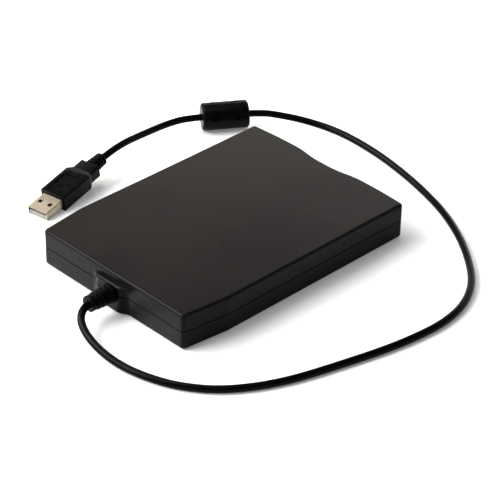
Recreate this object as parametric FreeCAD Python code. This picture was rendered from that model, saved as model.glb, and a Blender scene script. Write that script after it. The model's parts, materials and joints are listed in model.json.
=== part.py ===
"""External 3.5 inch floppy disk drive on a fixed USB cord, as an assembly of separate pieces.

Millimetres. +Z is up and z = 0 is the table. The disk slot faces -Y and the cord leaves towards +Y, so +X is on
the right seen from the front. The origin is under the middle of the drive. Everything is drawn empty, with the
eject button in, the disk holder up and the heads over track 0.
"""
import FreeCAD, Part
import math
import os
from FreeCAD import Vector

# ---------------------------------------------------------------------------------------------
# Driving dimensions
# ---------------------------------------------------------------------------------------------
past = 1.0                     # how far a cut runs past the face that it opens
seam = 0.1                     # how far joined blocks reach into each other
tolerance = 0.01               # for finding edges by their place

# Disk, as the drive has to take it: the drive and then the case get their size from it
disk_width = 90.0
disk_thickness = 3.3
disk_hub_to_back = 48.0        # hub to the edge that goes in last
disk_hub_to_front = 46.0       # hub to the shutter edge
track_zero_radius = 39.5
track_pitch = 0.1875
track_steps = 79

# Case, which closes round the drive
foot_proud = 0.5               # how far the feet hold the case off the table
drive_side_gap = 1.7           # drive to the side walls
roof_gap = 1.2                 # drive to the roof
rear_room = 14.0               # behind the drive, up to the rear wall's outer face
lower_shell_height = 9.5       # case bottom to the parting line
side_wall = 1.8
roof_wall = 1.6
floor_wall = 1.6
groove_gap = 0.5               # open line between the shells
lip_thickness = 0.8            # inner lip of the lower shell, inside the upper one
lip_height = 1.0
fit_gap = 0.1                  # clearance of parts that drop into each other
rear_corner_radius = 2.2
front_corner_radius = 1.6
taper_kink_radius = 8.0
top_edge_radius = 1.3
bottom_edge_radius = 1.0
taper_length = 25.0            # rear stretch over which the sides draw in
taper_in = 3.0                 # how much each side draws in
crest_x = 23.5                 # crests of the wavy front edge, either side of the middle
corner_set_back = 1.4          # front corners behind the crests
dip_depth = 2.15               # finger dip in the middle, behind the crests
dip_half_width = 3.0
side_pip_radius = 0.45         # small moulding pips on the sides
side_pip_depth = 0.15
side_pip_from_front = (38.0, 105.0)
side_pip_drop = 4.5            # below the top face

# Bulge at the rear that holds the cord's strain relief
bulge_out = 2.5
bulge_flat = 6.0               # half width of its flat face
bulge_foot = 13.0              # half width where it meets the rear wall
bulge_over_cord = 5.0          # its ledge above the cord's axis
bulge_top_radius = 1.2

# Feet and case screws
foot_radius = 4.0
foot_recess = 0.6
foot_inset_side = 9.5
foot_inset_front = 14.0
foot_inset_rear = 19.0
screw_inset_side = 10.5
screw_inset_rear = 7.6
screw_radius = 1.1
screw_head_radius = 2.1
screw_head_height = 1.3
screw_length = 11.0            # under the head
screw_end_room = 0.5           # hole beyond the screw's end
screw_slot_width = 0.5
screw_slot_length = 2.7
screw_slot_depth = 0.6
screw_head_depth = 2.6         # head's underside seat above the case bottom
column_radius = 3.2
thread_gap = 0.04

# Drive chassis
drive_lift = 1.6               # drive above the case floor
chassis_sheet = 1.0
cover_sheet = 0.5
peg_radius = 1.2
peg_height = 1.4
peg_seat_radius = 2.4
peg_from_wall = 2.5            # pegs in from the chassis's side walls
peg_inset_front = 14.0
peg_inset_rear = 8.0
pad_radius = 3.0
ear_size = 4.0                 # corner ears under the cover's screws
ear_height = 2.5
ribbon_gate_height = 4.4       # opening in the chassis's rear wall for the ribbon
cover_screw_radius = 0.8
cover_screw_head_radius = 1.5
cover_screw_head_height = 0.4
cover_screw_length = 2.8
cover_screw_hole = 3.0

# Bezel
bezel_depth = 5.6              # front crests to the bezel's back
bezel_set_back = 0.6           # bezel's face behind the shell's edge
bezel_side_post = 3.7          # shell left either side of the bezel
bezel_rim = 2.6                # shell left under and over the bezel
bezel_gap = 0.15
flange_thickness = 1.2
flange_lap = 1.6               # flange beyond the opening, at the sides
flange_lap_z = 0.7
slot_side_gap = 1.3            # disk to the slot's sides
slot_under_disk = 0.4          # slot's sill below the raised disk
slot_over_disk = 1.35          # slot's ceiling above the raised disk

# Slot door
door_side_gap = 0.3
door_thickness = 0.8
door_barrel_radius = 0.45
door_pin_radius = 0.35
door_pin_gap = 0.05
door_pin_length = 1.0
door_sill_gap = 0.2            # free edge above the slot's sill
door_back = 1.4                # pivot in front of the bezel's back
door_head_gap = 0.1            # barrel under the slot's ceiling
door_spring_wire = 0.1
door_spring_radius = 0.62
door_spring_turns = 6
door_spring_x = 30.0
door_spring_length = 2.4
door_spring_room = 0.3         # free space round the spring
door_spring_side_gap = 0.1     # free space at either end of the spring
door_notch_depth = 1.35        # barrel and leaf cut away under the spring

# Eject button and slide
eject_travel = 5.0
holder_drop = 1.9
button_inset = 10.3            # button's middle in from the slot's side
button_width = 13.6
button_height = 4.4
button_low = 1.2               # button above the chassis bottom
button_gap = 0.2
button_proud = 0.3             # beyond the bezel's face
button_depth = 6.6
button_edge_radius = 0.5
slide_sheet = 0.5
slide_lift = 0.2               # slide above the chassis floor
slide_side_gap = 0.3
slide_to_holder = 0.4
slide_bar_back = 5.4           # cross bar behind the bezel's back
slide_bar_width = 5.0
slide_arm_over_pin = 0.7       # arm above the upper end of its cam slot
slide_arm_past_slot = 4.0
tongue_width = 6.0
slide_tab_from_hub = 8.0       # in front of the spindle
slide_tab_width = 1.2
slide_tab_height = 1.6
slide_tab_gap = 0.3

# Disk holder
holder_sheet = 0.5
holder_side_gap = 0.3          # disk to the holder's wall
disk_headroom = 1.0            # disk to the holder's roof
holder_to_cover = 0.4
holder_lip = 3.1
holder_raised = 7.0            # disk's underside above the chassis bottom
holder_mouth_back = 3.5        # holder's mouth behind the bezel's back
holder_behind_disk = 1.0
stop_tab_gap = 0.3
stop_tab_inset = 5.3           # in from the holder's wall
stop_tab_width = 10.0
stop_tab_lift = 0.4            # above the disk's underside
cam_pin_radius = 0.9
cam_pin_gap = 0.1
cam_pin_over_disk = 1.5        # above the disk's underside
cam_pin_end_gap = 0.2          # pin's end inside the chassis's outer face
cam_pin_from_front = 17.4      # front pair behind the bezel's back
cam_pin_spacing = 60.0
head_window_half = 8.5
head_window_from_hub = 19.0
hub_window_radius = 16.0

# Latch lever that opens the disk's shutter
lever_inset = 5.3              # pivot in from the holder's wall
lever_from_back = 3.0          # pivot in front of the holder's rear edge
lever_length = 30.5
lever_rest_angle = 211.6       # degrees from +X
lever_width = 4.0
lever_sheet = 0.6
lever_under_roof = 0.15
lever_pin_radius = 0.8
lever_pin_above_lip = 0.2
lever_rivet_radius = 1.2
lever_rivet_gap = 0.05
lever_rivet_head = 2.2
rivet_head_height = 0.25
rivet_collar_lap = 0.6
rivet_collar_height = 0.15
rivet_collar_gap = 0.05

# Spindle motor
board_sheet = 0.8
motor_board_half_width = 30.0
motor_board_front = 24.0       # in front of the spindle
motor_board_rear = 20.5        # behind the spindle
coil_count = 9
coil_ring_radius = 13.0
coil_radius = 3.4
coil_hole_radius = 1.2
coil_height = 1.2
magnet_radius = 18.0
magnet_hole_radius = 9.0
magnet_height = 0.6
magnet_gap = 0.3
rotor_radius = 19.0
rotor_sheet = 0.6
hub_ring_radius = 9.5
hub_ring_hole = 3.0
hub_ring_height = 0.4
drive_pin_radius = 1.0
drive_pin_at = 10.9
drive_pin_height = 1.2
shaft_radius = 1.5
shaft_proud = 1.0
bearing_radius = 3.5
bearing_gap = 0.03
bearing_height = 2.6           # above the chassis bottom
bearing_bottom = 0.3           # closed bottom of the sleeve
shaft_end_gap = 0.1
shaft_edge = 0.4
drive_pin_edge = 0.3

# Head carriage, guide rod and lead screw
carriage_low = 2.2             # above the chassis bottom
carriage_height = 2.2
carriage_half_width = 11.0
carriage_neck_half = 6.0
carriage_front_of_head = 5.0
carriage_neck_length = 9.5
carriage_length = 35.0
carriage_post_half = 7.0
carriage_post_length = 6.5
arm_pivot_from_back = 3.0
arm_pivot_over_disk = 3.2      # above the underside of the raised disk
arm_pivot_radius = 0.5
arm_pivot_gap = 0.05
arm_boss_radius = 0.8
arm_over_disk = 4.1            # above the underside of the raised disk
arm_sheet = 0.8
arm_half_width = 6.5
arm_ear_gap = 2.3              # post to the arm's ear
arm_ear_sheet = 0.8
arm_behind_pivot = 0.8
arm_ear_length = 4.0
head_length = 6.0
head_width = 5.0
lower_head_under_disk = 0.4    # below the raised disk
upper_head_drop = 0.5
head_spring_wire = 0.12
head_spring_radius = 0.72
head_spring_turns = 4
head_spring_gap = 0.1
rod_x = -16.5
rod_height = 3.3
rod_radius = 1.0
rod_gap = 0.05
rod_front_from_hub = 22.0
rod_behind_carriage = 5.0
rod_to_rear = 2.0              # rod's end to the chassis's rear face
sleeve_half_width = 2.5
sleeve_length = 22.0
sleeve_from_back = 3.5
sleeve_low = 1.4
sleeve_top = 5.2
clamp_length = 3.0
clamp_half_width = 2.5
clamp_top = 5.2
flag_y_from_back = 3.5
flag_length = 2.0
flag_reach = 3.6
flag_bar_sheet = 0.6
flag_low = 3.4
screw_axis_x = 17.0
screw_axis_height = 5.4
lead_radius = 1.25
lead_root_radius = 0.95
lead_pitch = 3.75
journal_radius = 0.7
journal_gap = 0.05
nut_half = 2.4
nut_length = 2.4
nut_from_back = 3.3            # nut's rear face in front of the carriage's back
nut_gap = 0.08
nut_to_bracket = 0.5
bracket_sheet = 0.8
bracket_base_sheet = 0.6
bracket_half_width = 5.5
bracket_base_half = 3.0
bracket_top = 9.8
bearing_ear_top = 8.0
bearing_ear_sheet = 1.0
ear_to_nut = 0.2
stepper_radius = 4.2
stepper_length = 7.8
stepper_shaft_gap = 0.3
stepper_edge = 0.4
journal_hole = 2.0             # length of the hole in the bearing ear

# Drive board and sensors
standoff_height = 0.6
main_board_side_gap = 0.8      # board to the chassis's side wall
main_board_right = -20.0
main_board_front_from_hub = 26.0
main_board_to_rear = 1.5
standoff_radius = 1.6
board_edge = 3.0               # standoffs in from the board's edges
controller_size = 12.0
controller_height = 1.6
controller_at = (12.2, 16.0)   # from the board's front left corner
driver_size = 8.0
driver_height = 1.4
driver_at = (11.2, 34.0)       # from the board's front left corner
sensor_width = 4.6
sensor_length = 4.0
sensor_base = 0.7
sensor_height = 2.4
sensor_slot = 1.4
switch_size = (6.0, 7.0)
switch_height = 3.4            # top of the switch blocks above the chassis bottom
switch_from_front = 14.3       # behind the bezel's back
corner_switch_inset = 5.6      # write protect and density switches in from the disk's sides
disk_in_inset = 10.6           # disk switch in from the disk's side
plunger_radius = 0.8
plunger_gap = 0.06
plunger_under_disk = 1.0       # tip below the raised disk
plunger_depth = 1.4            # length inside the block
plunger_end_gap = 0.1

# Slide springs
spring_from_wall = 3.0
spring_height = 2.6
spring_radius = 1.05
spring_wire = 0.2
spring_turns = 13
spring_end_gap = 0.05
spring_tab_from_hub = 29.0     # in front of the spindle
spring_tab_sheet = 0.6
spring_tab_height = 3.2

# USB bridge board, its connectors and the inner wires
bridge_to_column = 2.3         # board's left end to the screw column
bridge_right = 30.0
bridge_gap = 1.4               # board behind the chassis
bridge_width = 7.8
bridge_height = 3.9            # board above the case floor
bridge_sheet = 1.2
bridge_post_x = (-17.7, 26.5)
bridge_post_radius = 1.9
bridge_pin_radius = 0.7
bridge_pin_proud = 0.6
ribbon_from_end = 1.5          # ribbon's left edge in from the bridge board's end
ribbon_from_board_edge = 0.6   # ribbon's right edge in from the drive board's
ribbon_sheet = 0.2
ribbon_in_connector = 1.5
bridge_connector_inset = 0.3
connector_length = 4.0
connector_height = 2.2
connector_side = 0.5
bridge_chip = 7.0
bridge_chip_height = 1.2
bridge_chip_x = -7.5
crystal_size = (3.2, 5.0, 1.0)
crystal_x = -13.6
capacitor_size = (2.0, 1.25, 0.8)
capacitor_x = (-1.0, 19.0, 21.5)
header_x = (12.0, 17.0)
header_height = 5.2
header_width = 3.3
header_depth = 3.0
wire_radius = 0.35
wire_pitch = 0.85
wire_bend = 3.0
wire_straight = 0.8            # between the cord's end and the bend

# Light guide and activity light
light_inset = 8.3              # light's middle in from the slot's side
light_width = 4.0
light_height = 2.0
light_low = 3.0                # above the chassis bottom
led_length = 1.6
light_gap = 0.05

# Cord, strain relief and ferrite core
cord_radius = 1.85
cord_x = -2.5                  # it leaves the case beside the middle of the bulge
cord_inside = 4.0              # cord beyond the rear wall's outer face, inside
relief_collar_radius = 4.9
relief_collar = 2.5
relief_rib_radius = (4.7, 4.3)
relief_rib = 1.5
relief_pitch = 2.6
relief_ribs = 3
relief_core_radius = 3.3
relief_end_radius = 4.0
relief_end = 2.4
relief_neck_radius = 3.4
relief_flange_radius = 4.2
relief_flange = 1.5
relief_flange_in = 3.0         # flange's inner face inside the bulge's face
relief_tail = 1.6
relief_collar_edge = 0.6
relief_gap = 0.05

core_centre = (83.73, -154.54)  # y counted from the bulge's face
core_heading = 56.7            # degrees from +X, along the core towards the plug
core_length = 24.9
core_radius = 7.35
core_edge = 0.9
core_wall = 1.3
core_dimple_radius = 1.15
core_dimple_depth = 0.9
core_dimple_from_end = 6.5
core_dimple_angles = (77.0, 167.0, 257.0, 347.0)
core_exit = 6.5                # straight cord beyond each end of the core

# Route of the cord over the table, from the strain relief to the core, then on to the plug.
# Each point has its x, its y counted from the bulge's face, and its height above the table.
relief_straight = 16.0         # first corner of the route behind the bulge's face
cord_to_core = [
    (-6.4, 22.2, 7.9), (-15.0, 25.9, 5.4), (-27.5, 27.6, 3.2),
    (-41.5, 26.9, 2.1), (-56.0, 23.4, 1.87), (-69.5, 17.4, 1.87), (-84.0, 5.5, 1.87),
    (-97.0, -16.5, 1.87), (-105.5, -45.5, 1.87), (-113.5, -77.5, 1.87), (-116.0, -109.5, 1.87),
    (-106.0, -135.5, 1.87), (-82.5, -157.0, 1.87), (-57.5, -172.5, 1.87), (-33.0, -182.0, 1.87),
    (-9.5, -188.5, 1.87), (14.0, -192.5, 2.1), (37.0, -192.2, 2.9), (54.0, -186.2, 4.2),
    (65.3, -178.3, 5.8),
]
cord_to_plug = [(96.8, -127.5, 7.7), (95.9, -109.0, 9.0)]
plug_run_corner = 11.0         # last corner of the route beyond the boot
run_share = 0.45               # share of the shorter run that an arc takes up

# USB plug, drawn along its own axis from the tip
plug_tip = (82.2, -26.1)       # y counted from the bulge's face
plug_heading = -80.0           # degrees from +X, tip towards cord
plug_pitch = 8.5               # its cord end is raised by this angle
plug_width = 12.0
plug_height = 4.5
plug_sheet = 0.3
plug_shell_edge = 0.5
plug_exposed = 12.0
plug_inside = 6.0
plug_window = 2.2
plug_window_at = 6.2
plug_window_spacing = 6.2
tongue_height = 1.9
tongue_set_back = 0.4
contact_width = 1.0
contact_sheet = 0.2
contact_x = (-3.5, -1.0, 1.0, 3.5)
contact_length = 7.4
contact_set_back = 1.2
grip_width = 15.0
grip_height = 8.2
grip_length = 23.0
grip_edge = 0.7
waist_width = 11.8
waist_height = 6.8
waist_length = 7.0
waist_edge = 1.3
shoulder_length = 2.4          # grip's slanted step down to the waist
panel_width = 10.0
panel_length = 14.0
panel_from_front = 2.2
panel_depth = 0.35
panel_corner_radius = 1.0
dot_radius = 0.45
dot_behind_panel = 1.8
boot_slit = 0.4
boot_core_radius = (3.25, 2.8)
boot_ring_radius = (3.9, 3.5)
boot_rings = 4
boot_ring = 1.5
boot_ring_pitch = 2.2
cord_in_boot = 6.0

# ---------------------------------------------------------------------------------------------
# Places worked out from the dimensions
# ---------------------------------------------------------------------------------------------
# Across, from the disk outwards
holder_half = disk_width / 2 + holder_side_gap
slide_half = holder_half + holder_sheet + slide_to_holder
inner_half = slide_half + slide_sheet + slide_side_gap
drive_half = inner_half + chassis_sheet
case_width = 2 * (drive_half + drive_side_gap + side_wall)
half_width = case_width / 2
slot_half_width = disk_width / 2 + slot_side_gap
button_x = slot_half_width - button_inset
light_x = light_inset - slot_half_width
peg_x = inner_half - peg_from_wall
spring_x = inner_half - spring_from_wall
foot_x = half_width - foot_inset_side
screw_x = half_width - screw_inset_side
lever_x = holder_half - lever_inset
stop_tab_x = (stop_tab_inset - holder_half, stop_tab_inset - holder_half + stop_tab_width)
density_x = disk_width / 2 - corner_switch_inset
write_protect_x = -density_x
disk_in_x = disk_in_inset - disk_width / 2
main_board_x = (main_board_side_gap - inner_half, main_board_right)
bridge_x = (column_radius + bridge_to_column - screw_x, bridge_right)
ribbon_x = (bridge_x[0] + ribbon_from_end, main_board_right - ribbon_from_board_edge)

# Up, from the case's floor
holder_inside_height = disk_thickness + disk_headroom
drive_height = holder_raised + holder_inside_height + holder_sheet + holder_to_cover + cover_sheet
case_height = floor_wall + drive_lift + drive_height + roof_gap + roof_wall
floor_z = foot_proud + floor_wall
parting_z = foot_proud + lower_shell_height
top_z = foot_proud + case_height
roof_z = top_z - roof_wall
cord_z = parting_z
drive_z = floor_z + drive_lift
chassis_floor = drive_z + chassis_sheet
cover_low = drive_z + drive_height - cover_sheet
disk_low = drive_z + holder_raised
holder_low = disk_low - holder_sheet
holder_roof = disk_low + holder_inside_height
slide_low = chassis_floor + slide_lift
button_z = drive_z + button_low
cam_pin_z = disk_low + cam_pin_over_disk
arm_low = disk_low + arm_over_disk
slot_low = disk_low - slot_under_disk
slot_top = disk_low + disk_thickness + slot_over_disk
door_z = slot_top - door_head_gap - door_barrel_radius
door_low = slot_low + door_sill_gap
plunger_tip_z = disk_low - plunger_under_disk
plunger_travel = holder_drop - plunger_under_disk
screw_axis_z = drive_z + screw_axis_height
rotor_low = chassis_floor + board_sheet + coil_height + magnet_gap + magnet_height
main_board_low = chassis_floor + standoff_height
main_board_top = main_board_low + board_sheet
bridge_low = floor_z + bridge_height
bridge_top = bridge_low + bridge_sheet

# Along, from the front to the rear
hub_from_front = door_thickness - door_back + disk_hub_to_back
carriage_from_hub = track_zero_radius - carriage_front_of_head + carriage_length
drive_length = hub_from_front + carriage_from_hub + rod_behind_carriage + rod_to_rear
case_length = bezel_depth + drive_length + rear_room
front_y = -(case_length + bulge_out) / 2
rear_y = front_y + case_length
bulge_y = rear_y + bulge_out
chassis_front = front_y + bezel_depth
chassis_rear = chassis_front + drive_length
door_y = chassis_front - door_back
hub_y = chassis_front + hub_from_front
disk_front_y = hub_y + disk_hub_to_front
holder_front = chassis_front + holder_mouth_back
holder_rear = disk_front_y + holder_behind_disk
cam_pin_ys = (chassis_front + cam_pin_from_front, chassis_front + cam_pin_from_front + cam_pin_spacing)
slide_tab_y = hub_y - slide_tab_from_hub
spring_tab_y = hub_y - spring_tab_from_hub
head_y = hub_y + track_zero_radius
carriage_front = head_y - carriage_front_of_head
carriage_back = carriage_front + carriage_length
carriage_travel = track_steps * track_pitch
arm_pivot = Vector(0, carriage_back - arm_pivot_from_back, disk_low + arm_pivot_over_disk)
nut_back = carriage_back - nut_from_back
bracket_y = nut_back + nut_to_bracket
screw_front = nut_back - nut_length - carriage_travel - ear_to_nut - bearing_ear_sheet
main_board_y = (hub_y + main_board_front_from_hub, chassis_rear - main_board_to_rear)
bridge_front = chassis_rear + bridge_gap


# ---------------------------------------------------------------------------------------------
# Small helpers
# ---------------------------------------------------------------------------------------------
def around(middle, size):
    """Low and high ends of a size set about a middle."""
    return (middle - size / 2, middle + size / 2)


def box(x, y, z):
    """Block between (low, high) pairs along the three axes."""
    return Part.makeBox(x[1] - x[0], y[1] - y[0], z[1] - z[0], Vector(x[0], y[0], z[0]))


def bar(radius, start, end):
    """Round bar between two points."""
    along = end - start
    return Part.makeCylinder(radius, along.Length, start, along)


def post(radius, x, y, z):
    """Upright round post between two heights."""
    return Part.makeCylinder(radius, z[1] - z[0], Vector(x, y, z[0]))


def cross_bar(radius, y, z, x):
    """Round bar along X between two values of x."""
    return bar(radius, Vector(x[0], y, z), Vector(x[1], y, z))


def join(shapes):
    """One solid from shapes that touch or overlap."""
    return shapes[0].fuse(shapes[1:]).removeSplitter()


def both_sides(shape):
    """The shape and its mirror image across the middle plane."""
    return [shape, shape.mirror(Vector(0, 0, 0), Vector(1, 0, 0))]


def round_edges(shape, radius, chosen):
    """Fillets the edges that the test chooses."""
    return shape.makeFillet(radius, [e for e in shape.Edges if chosen(e)])


def upright_at(x, y):
    """Test for upright edges over a place given for the +X side, on either side."""
    reach = 20 * tolerance

    def chosen(edge):
        low, high = edge.BoundBox.ZMin, edge.BoundBox.ZMax
        middle = edge.BoundBox.Center
        there = abs(abs(middle.x) - x) < reach and abs(middle.y - y) < reach
        return there and high - low > reach and edge.BoundBox.XLength < tolerance
    return chosen


def level_at(z):
    """Test for edges that lie in one level plane."""
    return lambda edge: abs(edge.BoundBox.ZMin - z) < tolerance and abs(edge.BoundBox.ZMax - z) < tolerance


def save(node, *shapes):
    """Writes one node, with one solid or a group of separate ones."""
    solids = [s for shape in shapes for s in shape.Solids]
    whole = solids[0] if len(solids) == 1 else Part.makeCompound(solids)
    if not whole.isValid() or not solids:
        raise ValueError(node + " is not a valid solid")
    whole.exportStep(os.path.join("parts", node + ".step"))


def coil(radius, wire, turns, start, axis, length):
    """Round wire wound along an axis."""
    helix = Part.makeHelix(length / turns, length, radius)
    section = Part.Wire(Part.makeCircle(wire, Vector(radius, 0, 0), Vector(0, 1, 0)))
    wound = Part.Wire(helix.Edges).makePipeShell([section], True, True)
    turned = FreeCAD.Placement(start, FreeCAD.Rotation(Vector(0, 0, 1), axis))
    return wound.transformGeometry(turned.toMatrix())


# ---------------------------------------------------------------------------------------------
# Case shells
# ---------------------------------------------------------------------------------------------
def bend(start, end, share):
    """Arc from start, where it runs along X, that passes through end; share 0.5 gives its middle."""
    dx, dy = end.x - start.x, end.y - start.y
    turn = 2 * math.atan(abs(dy / dx))
    radius = (dx * dx + dy * dy) / (2 * abs(dy))
    step = Vector(
        math.copysign(radius * math.sin(turn * share), dx),
        math.copysign(radius * (1 - math.cos(turn * share)), dy), 0)
    return Part.Arc(start, start + step, end).toShape()


def s_curve(start, end):
    """Two equal arcs between two places, running along X at both ends."""
    middle = (start + end) * 0.5
    return [bend(start, middle, 0.5), bend(end, middle, 0.5)]


def line(start, end):
    return Part.LineSegment(start, end).toShape()


def outline(inset, bulged, z):
    """Plan of the case, set in from its skin: wavy front, straight sides, drawn in rear."""
    side = half_width - inset
    dip_y = front_y + dip_depth + inset
    corner = Vector(side, front_y + corner_set_back + inset, z)
    crest = Vector(crest_x, front_y + inset, z)
    dip = Vector(dip_half_width, dip_y, z)
    kink = Vector(side, rear_y - taper_length, z)
    back = Vector(side - taper_in, rear_y - inset, z)
    edges = [line(Vector(0, dip_y, z), dip)] + s_curve(dip, crest)
    edges += [bend(crest, corner, 0.5), line(corner, kink), line(kink, back)]
    if bulged:
        foot = Vector(bulge_foot, rear_y - inset, z)
        flat = Vector(bulge_flat, bulge_y - inset, z)
        edges += [line(back, foot)] + s_curve(foot, flat) + [line(flat, Vector(0, flat.y, z))]
    else:
        edges.append(line(back, Vector(0, back.y, z)))
    mirrored = [e.mirror(Vector(0, 0, 0), Vector(1, 0, 0)) for e in edges]
    return Part.Face(Part.Wire(Part.__sortEdges__(edges + mirrored)))


def case_block(inset, z, bulged=False):
    """Solid block of the case's plan between two heights."""
    return outline(inset, bulged, z[0]).extrude(Vector(0, 0, z[1] - z[0]))


def round_corners(block):
    """Rounds the upright corners of an outer block."""
    back = (half_width - taper_in, rear_y)
    corners = [
        (half_width, front_y + corner_set_back, front_corner_radius),
        (half_width, rear_y - taper_length, taper_kink_radius),
        (back[0], back[1], rear_corner_radius),
    ]
    for x, y, radius in corners:
        block = round_edges(block, radius, upright_at(x, y))
    return block


def bulge_above_parting():
    """The part of the rear bulge that the upper shell carries, with its ledge rounded over."""
    low, high = parting_z + groove_gap / 2, cord_z + bulge_over_cord
    inner_y = rear_y - side_wall
    foot, flat = Vector(bulge_foot, rear_y, low), Vector(bulge_flat, bulge_y, low)
    edges = s_curve(foot, flat) + [line(flat, Vector(0, bulge_y, low))]
    edges += [line(foot, Vector(bulge_foot, inner_y, low))]
    edges += [line(Vector(bulge_foot, inner_y, low), Vector(0, inner_y, low))]
    mirrored = [e.mirror(Vector(0, 0, 0), Vector(1, 0, 0)) for e in edges]
    face = Part.Face(Part.Wire(Part.__sortEdges__(edges + mirrored)))
    block = face.extrude(Vector(0, 0, high - low))

    def outer_top(edge):
        return level_at(high)(edge) and edge.BoundBox.YMin > rear_y - tolerance

    return round_edges(block, bulge_top_radius, outer_top)


def bezel_opening():
    """Room in the shells' front for the bezel."""
    half = half_width - bezel_side_post
    return box((-half, half), (front_y - past, chassis_front), (foot_proud + bezel_rim, top_z - bezel_rim))


def cord_axis(y):
    """Point on the straight axis that the cord leaves the case by."""
    return Vector(cord_x, y, cord_z)


def relief_room():
    """Hole and groove in the bulge that clamp the strain relief."""
    neck = bar(relief_neck_radius + relief_gap, cord_axis(rear_y - 2 * side_wall), cord_axis(bulge_y + past))
    inner = bulge_y - relief_flange_in
    groove = bar(
        relief_flange_radius + relief_gap,
        cord_axis(inner - relief_gap), cord_axis(inner + relief_flange + relief_gap))
    return neck.fuse(groove)


def side_pips():
    """Shallow round marks on the upper shell's sides."""
    z = top_z - side_pip_drop
    inside = half_width - side_pip_depth
    ys = [front_y + y for y in side_pip_from_front]
    pips = [cross_bar(side_pip_radius, y, z, (inside, half_width + past)) for y in ys]
    return [p for pip in pips for p in both_sides(pip)]


def upper_shell():
    low = parting_z + groove_gap / 2
    shell = round_corners(case_block(0, (low, top_z)))
    shell = round_edges(shell, top_edge_radius, level_at(top_z))
    shell = shell.fuse(bulge_above_parting())
    shell = shell.cut(case_block(side_wall, (low - past, roof_z)))
    rebate = side_wall - lip_thickness - fit_gap
    shell = shell.cut(case_block(rebate, (low - past, parting_z + lip_height + fit_gap)))
    column = post(column_radius, screw_x, rear_y - screw_inset_rear, (parting_z, roof_z + seam))
    pads = [
        post(pad_radius, peg_x - pad_radius, y, (drive_z + drive_height, roof_z + seam))
        for y in (chassis_front + peg_inset_front, chassis_rear - peg_inset_rear)
    ]
    extras = both_sides(column) + [p for pad in pads for p in both_sides(pad)]
    shell = shell.fuse(extras)
    hole = post(
        screw_radius + thread_gap, screw_x, rear_y - screw_inset_rear,
        (parting_z - past, foot_proud + screw_head_depth + screw_length + screw_end_room))
    return shell.cut(both_sides(hole) + [bezel_opening(), relief_room()] + side_pips()).removeSplitter()


def lower_shell():
    high = parting_z - groove_gap / 2
    shell = round_corners(case_block(0, (foot_proud, high), True))
    shell = round_edges(shell, bottom_edge_radius, level_at(foot_proud))
    shell = shell.cut(case_block(side_wall, (floor_z, high + past)))
    lip = case_block(side_wall - lip_thickness, (high - past, parting_z + lip_height))
    lip = lip.cut(case_block(side_wall, (high - 2 * past, parting_z + lip_height + past)))
    screw_y = rear_y - screw_inset_rear
    base = floor_z - seam
    column = post(column_radius, screw_x, screw_y, (base, parting_z))
    pegs = []
    for y in (chassis_front + peg_inset_front, chassis_rear - peg_inset_rear):
        pegs.append(post(peg_seat_radius, peg_x, y, (base, drive_z)))
        pegs.append(post(peg_radius, peg_x, y, (base, drive_z + peg_height)))
    extras = both_sides(column) + [p for peg in pegs for p in both_sides(peg)]
    for x in bridge_post_x:
        y = bridge_front + bridge_width / 2
        extras.append(post(bridge_post_radius, x, y, (base, bridge_low)))
        extras.append(post(bridge_pin_radius, x, y, (base, bridge_top + bridge_pin_proud)))
    shell = shell.fuse([lip] + extras)
    head = post(screw_head_radius + fit_gap, screw_x, screw_y, (0, foot_proud + screw_head_depth))
    shank = post(screw_radius + fit_gap, screw_x, screw_y, (0, parting_z + past))
    cuts = both_sides(head) + both_sides(shank) + foot_blocks(foot_radius + fit_gap)
    return shell.cut(cuts + [bezel_opening(), relief_room()]).removeSplitter()


def foot_blocks(radius):
    """Four round feet, from the table up into their recesses."""
    places = [front_y + foot_inset_front, rear_y - foot_inset_rear]
    return [f for y in places for f in both_sides(post(radius, foot_x, y, (0, foot_proud + foot_recess)))]


def case_screws():
    """Two screws that pull the shells together at the rear, heads sunk in the bottom."""
    y, seat = rear_y - screw_inset_rear, foot_proud + screw_head_depth
    head = post(screw_head_radius, screw_x, y, (seat - screw_head_height, seat))
    z = (seat - screw_head_height - past, seat - screw_head_height + screw_slot_depth)
    slot = box(around(screw_x, screw_slot_width), around(y, screw_slot_length), z)
    cross = box(around(screw_x, screw_slot_length), around(y, screw_slot_width), z)
    shank = post(screw_radius, screw_x, y, (seat, seat + screw_length))
    return both_sides(join([head.cut([slot, cross]), shank]))


# ---------------------------------------------------------------------------------------------
# Bezel, slot door, light and eject button
# ---------------------------------------------------------------------------------------------
def button_opening(gap):
    """Room for the eject button through the bezel."""
    return box(
        around(button_x, button_width + 2 * gap), (front_y - 1, chassis_front + 1),
        (button_z - gap, button_z + button_height + gap))


def light_opening(gap):
    low = drive_z + light_low
    return box(
        around(light_x, light_width + 2 * gap), (front_y - 1, chassis_front + 1),
        (low - gap, low + light_height + gap))


def front_bezel():
    """Front panel with the disk slot; its face repeats the shell's wavy edge, a little further in."""
    half = half_width - bezel_side_post - bezel_gap
    z = (foot_proud + bezel_rim + bezel_gap, top_z - bezel_rim - bezel_gap)
    panel = case_block(bezel_set_back, z).common(box((-half, half), (front_y - past, chassis_front), z))
    flange = box(
        (-half - flange_lap, half + flange_lap), (chassis_front - flange_thickness, chassis_front),
        (z[0] - flange_lap_z, z[1] + flange_lap_z))
    through = (front_y - past, chassis_front + past)
    slot = box((-slot_half_width, slot_half_width), through, (slot_low, slot_top))
    reach = slot_half_width - door_side_gap + door_pin_length + door_pin_gap
    pivot = cross_bar(door_pin_radius + door_pin_gap, door_y, door_z, (-reach, reach))
    spring = cross_bar(
        door_spring_radius + door_spring_room, door_y, door_z,
        around(door_spring_x, door_spring_length + 2 * door_spring_side_gap))
    cuts = [slot, pivot, spring, button_opening(button_gap), light_opening(light_gap)]
    return join([panel, flange]).cut(cuts)


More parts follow.
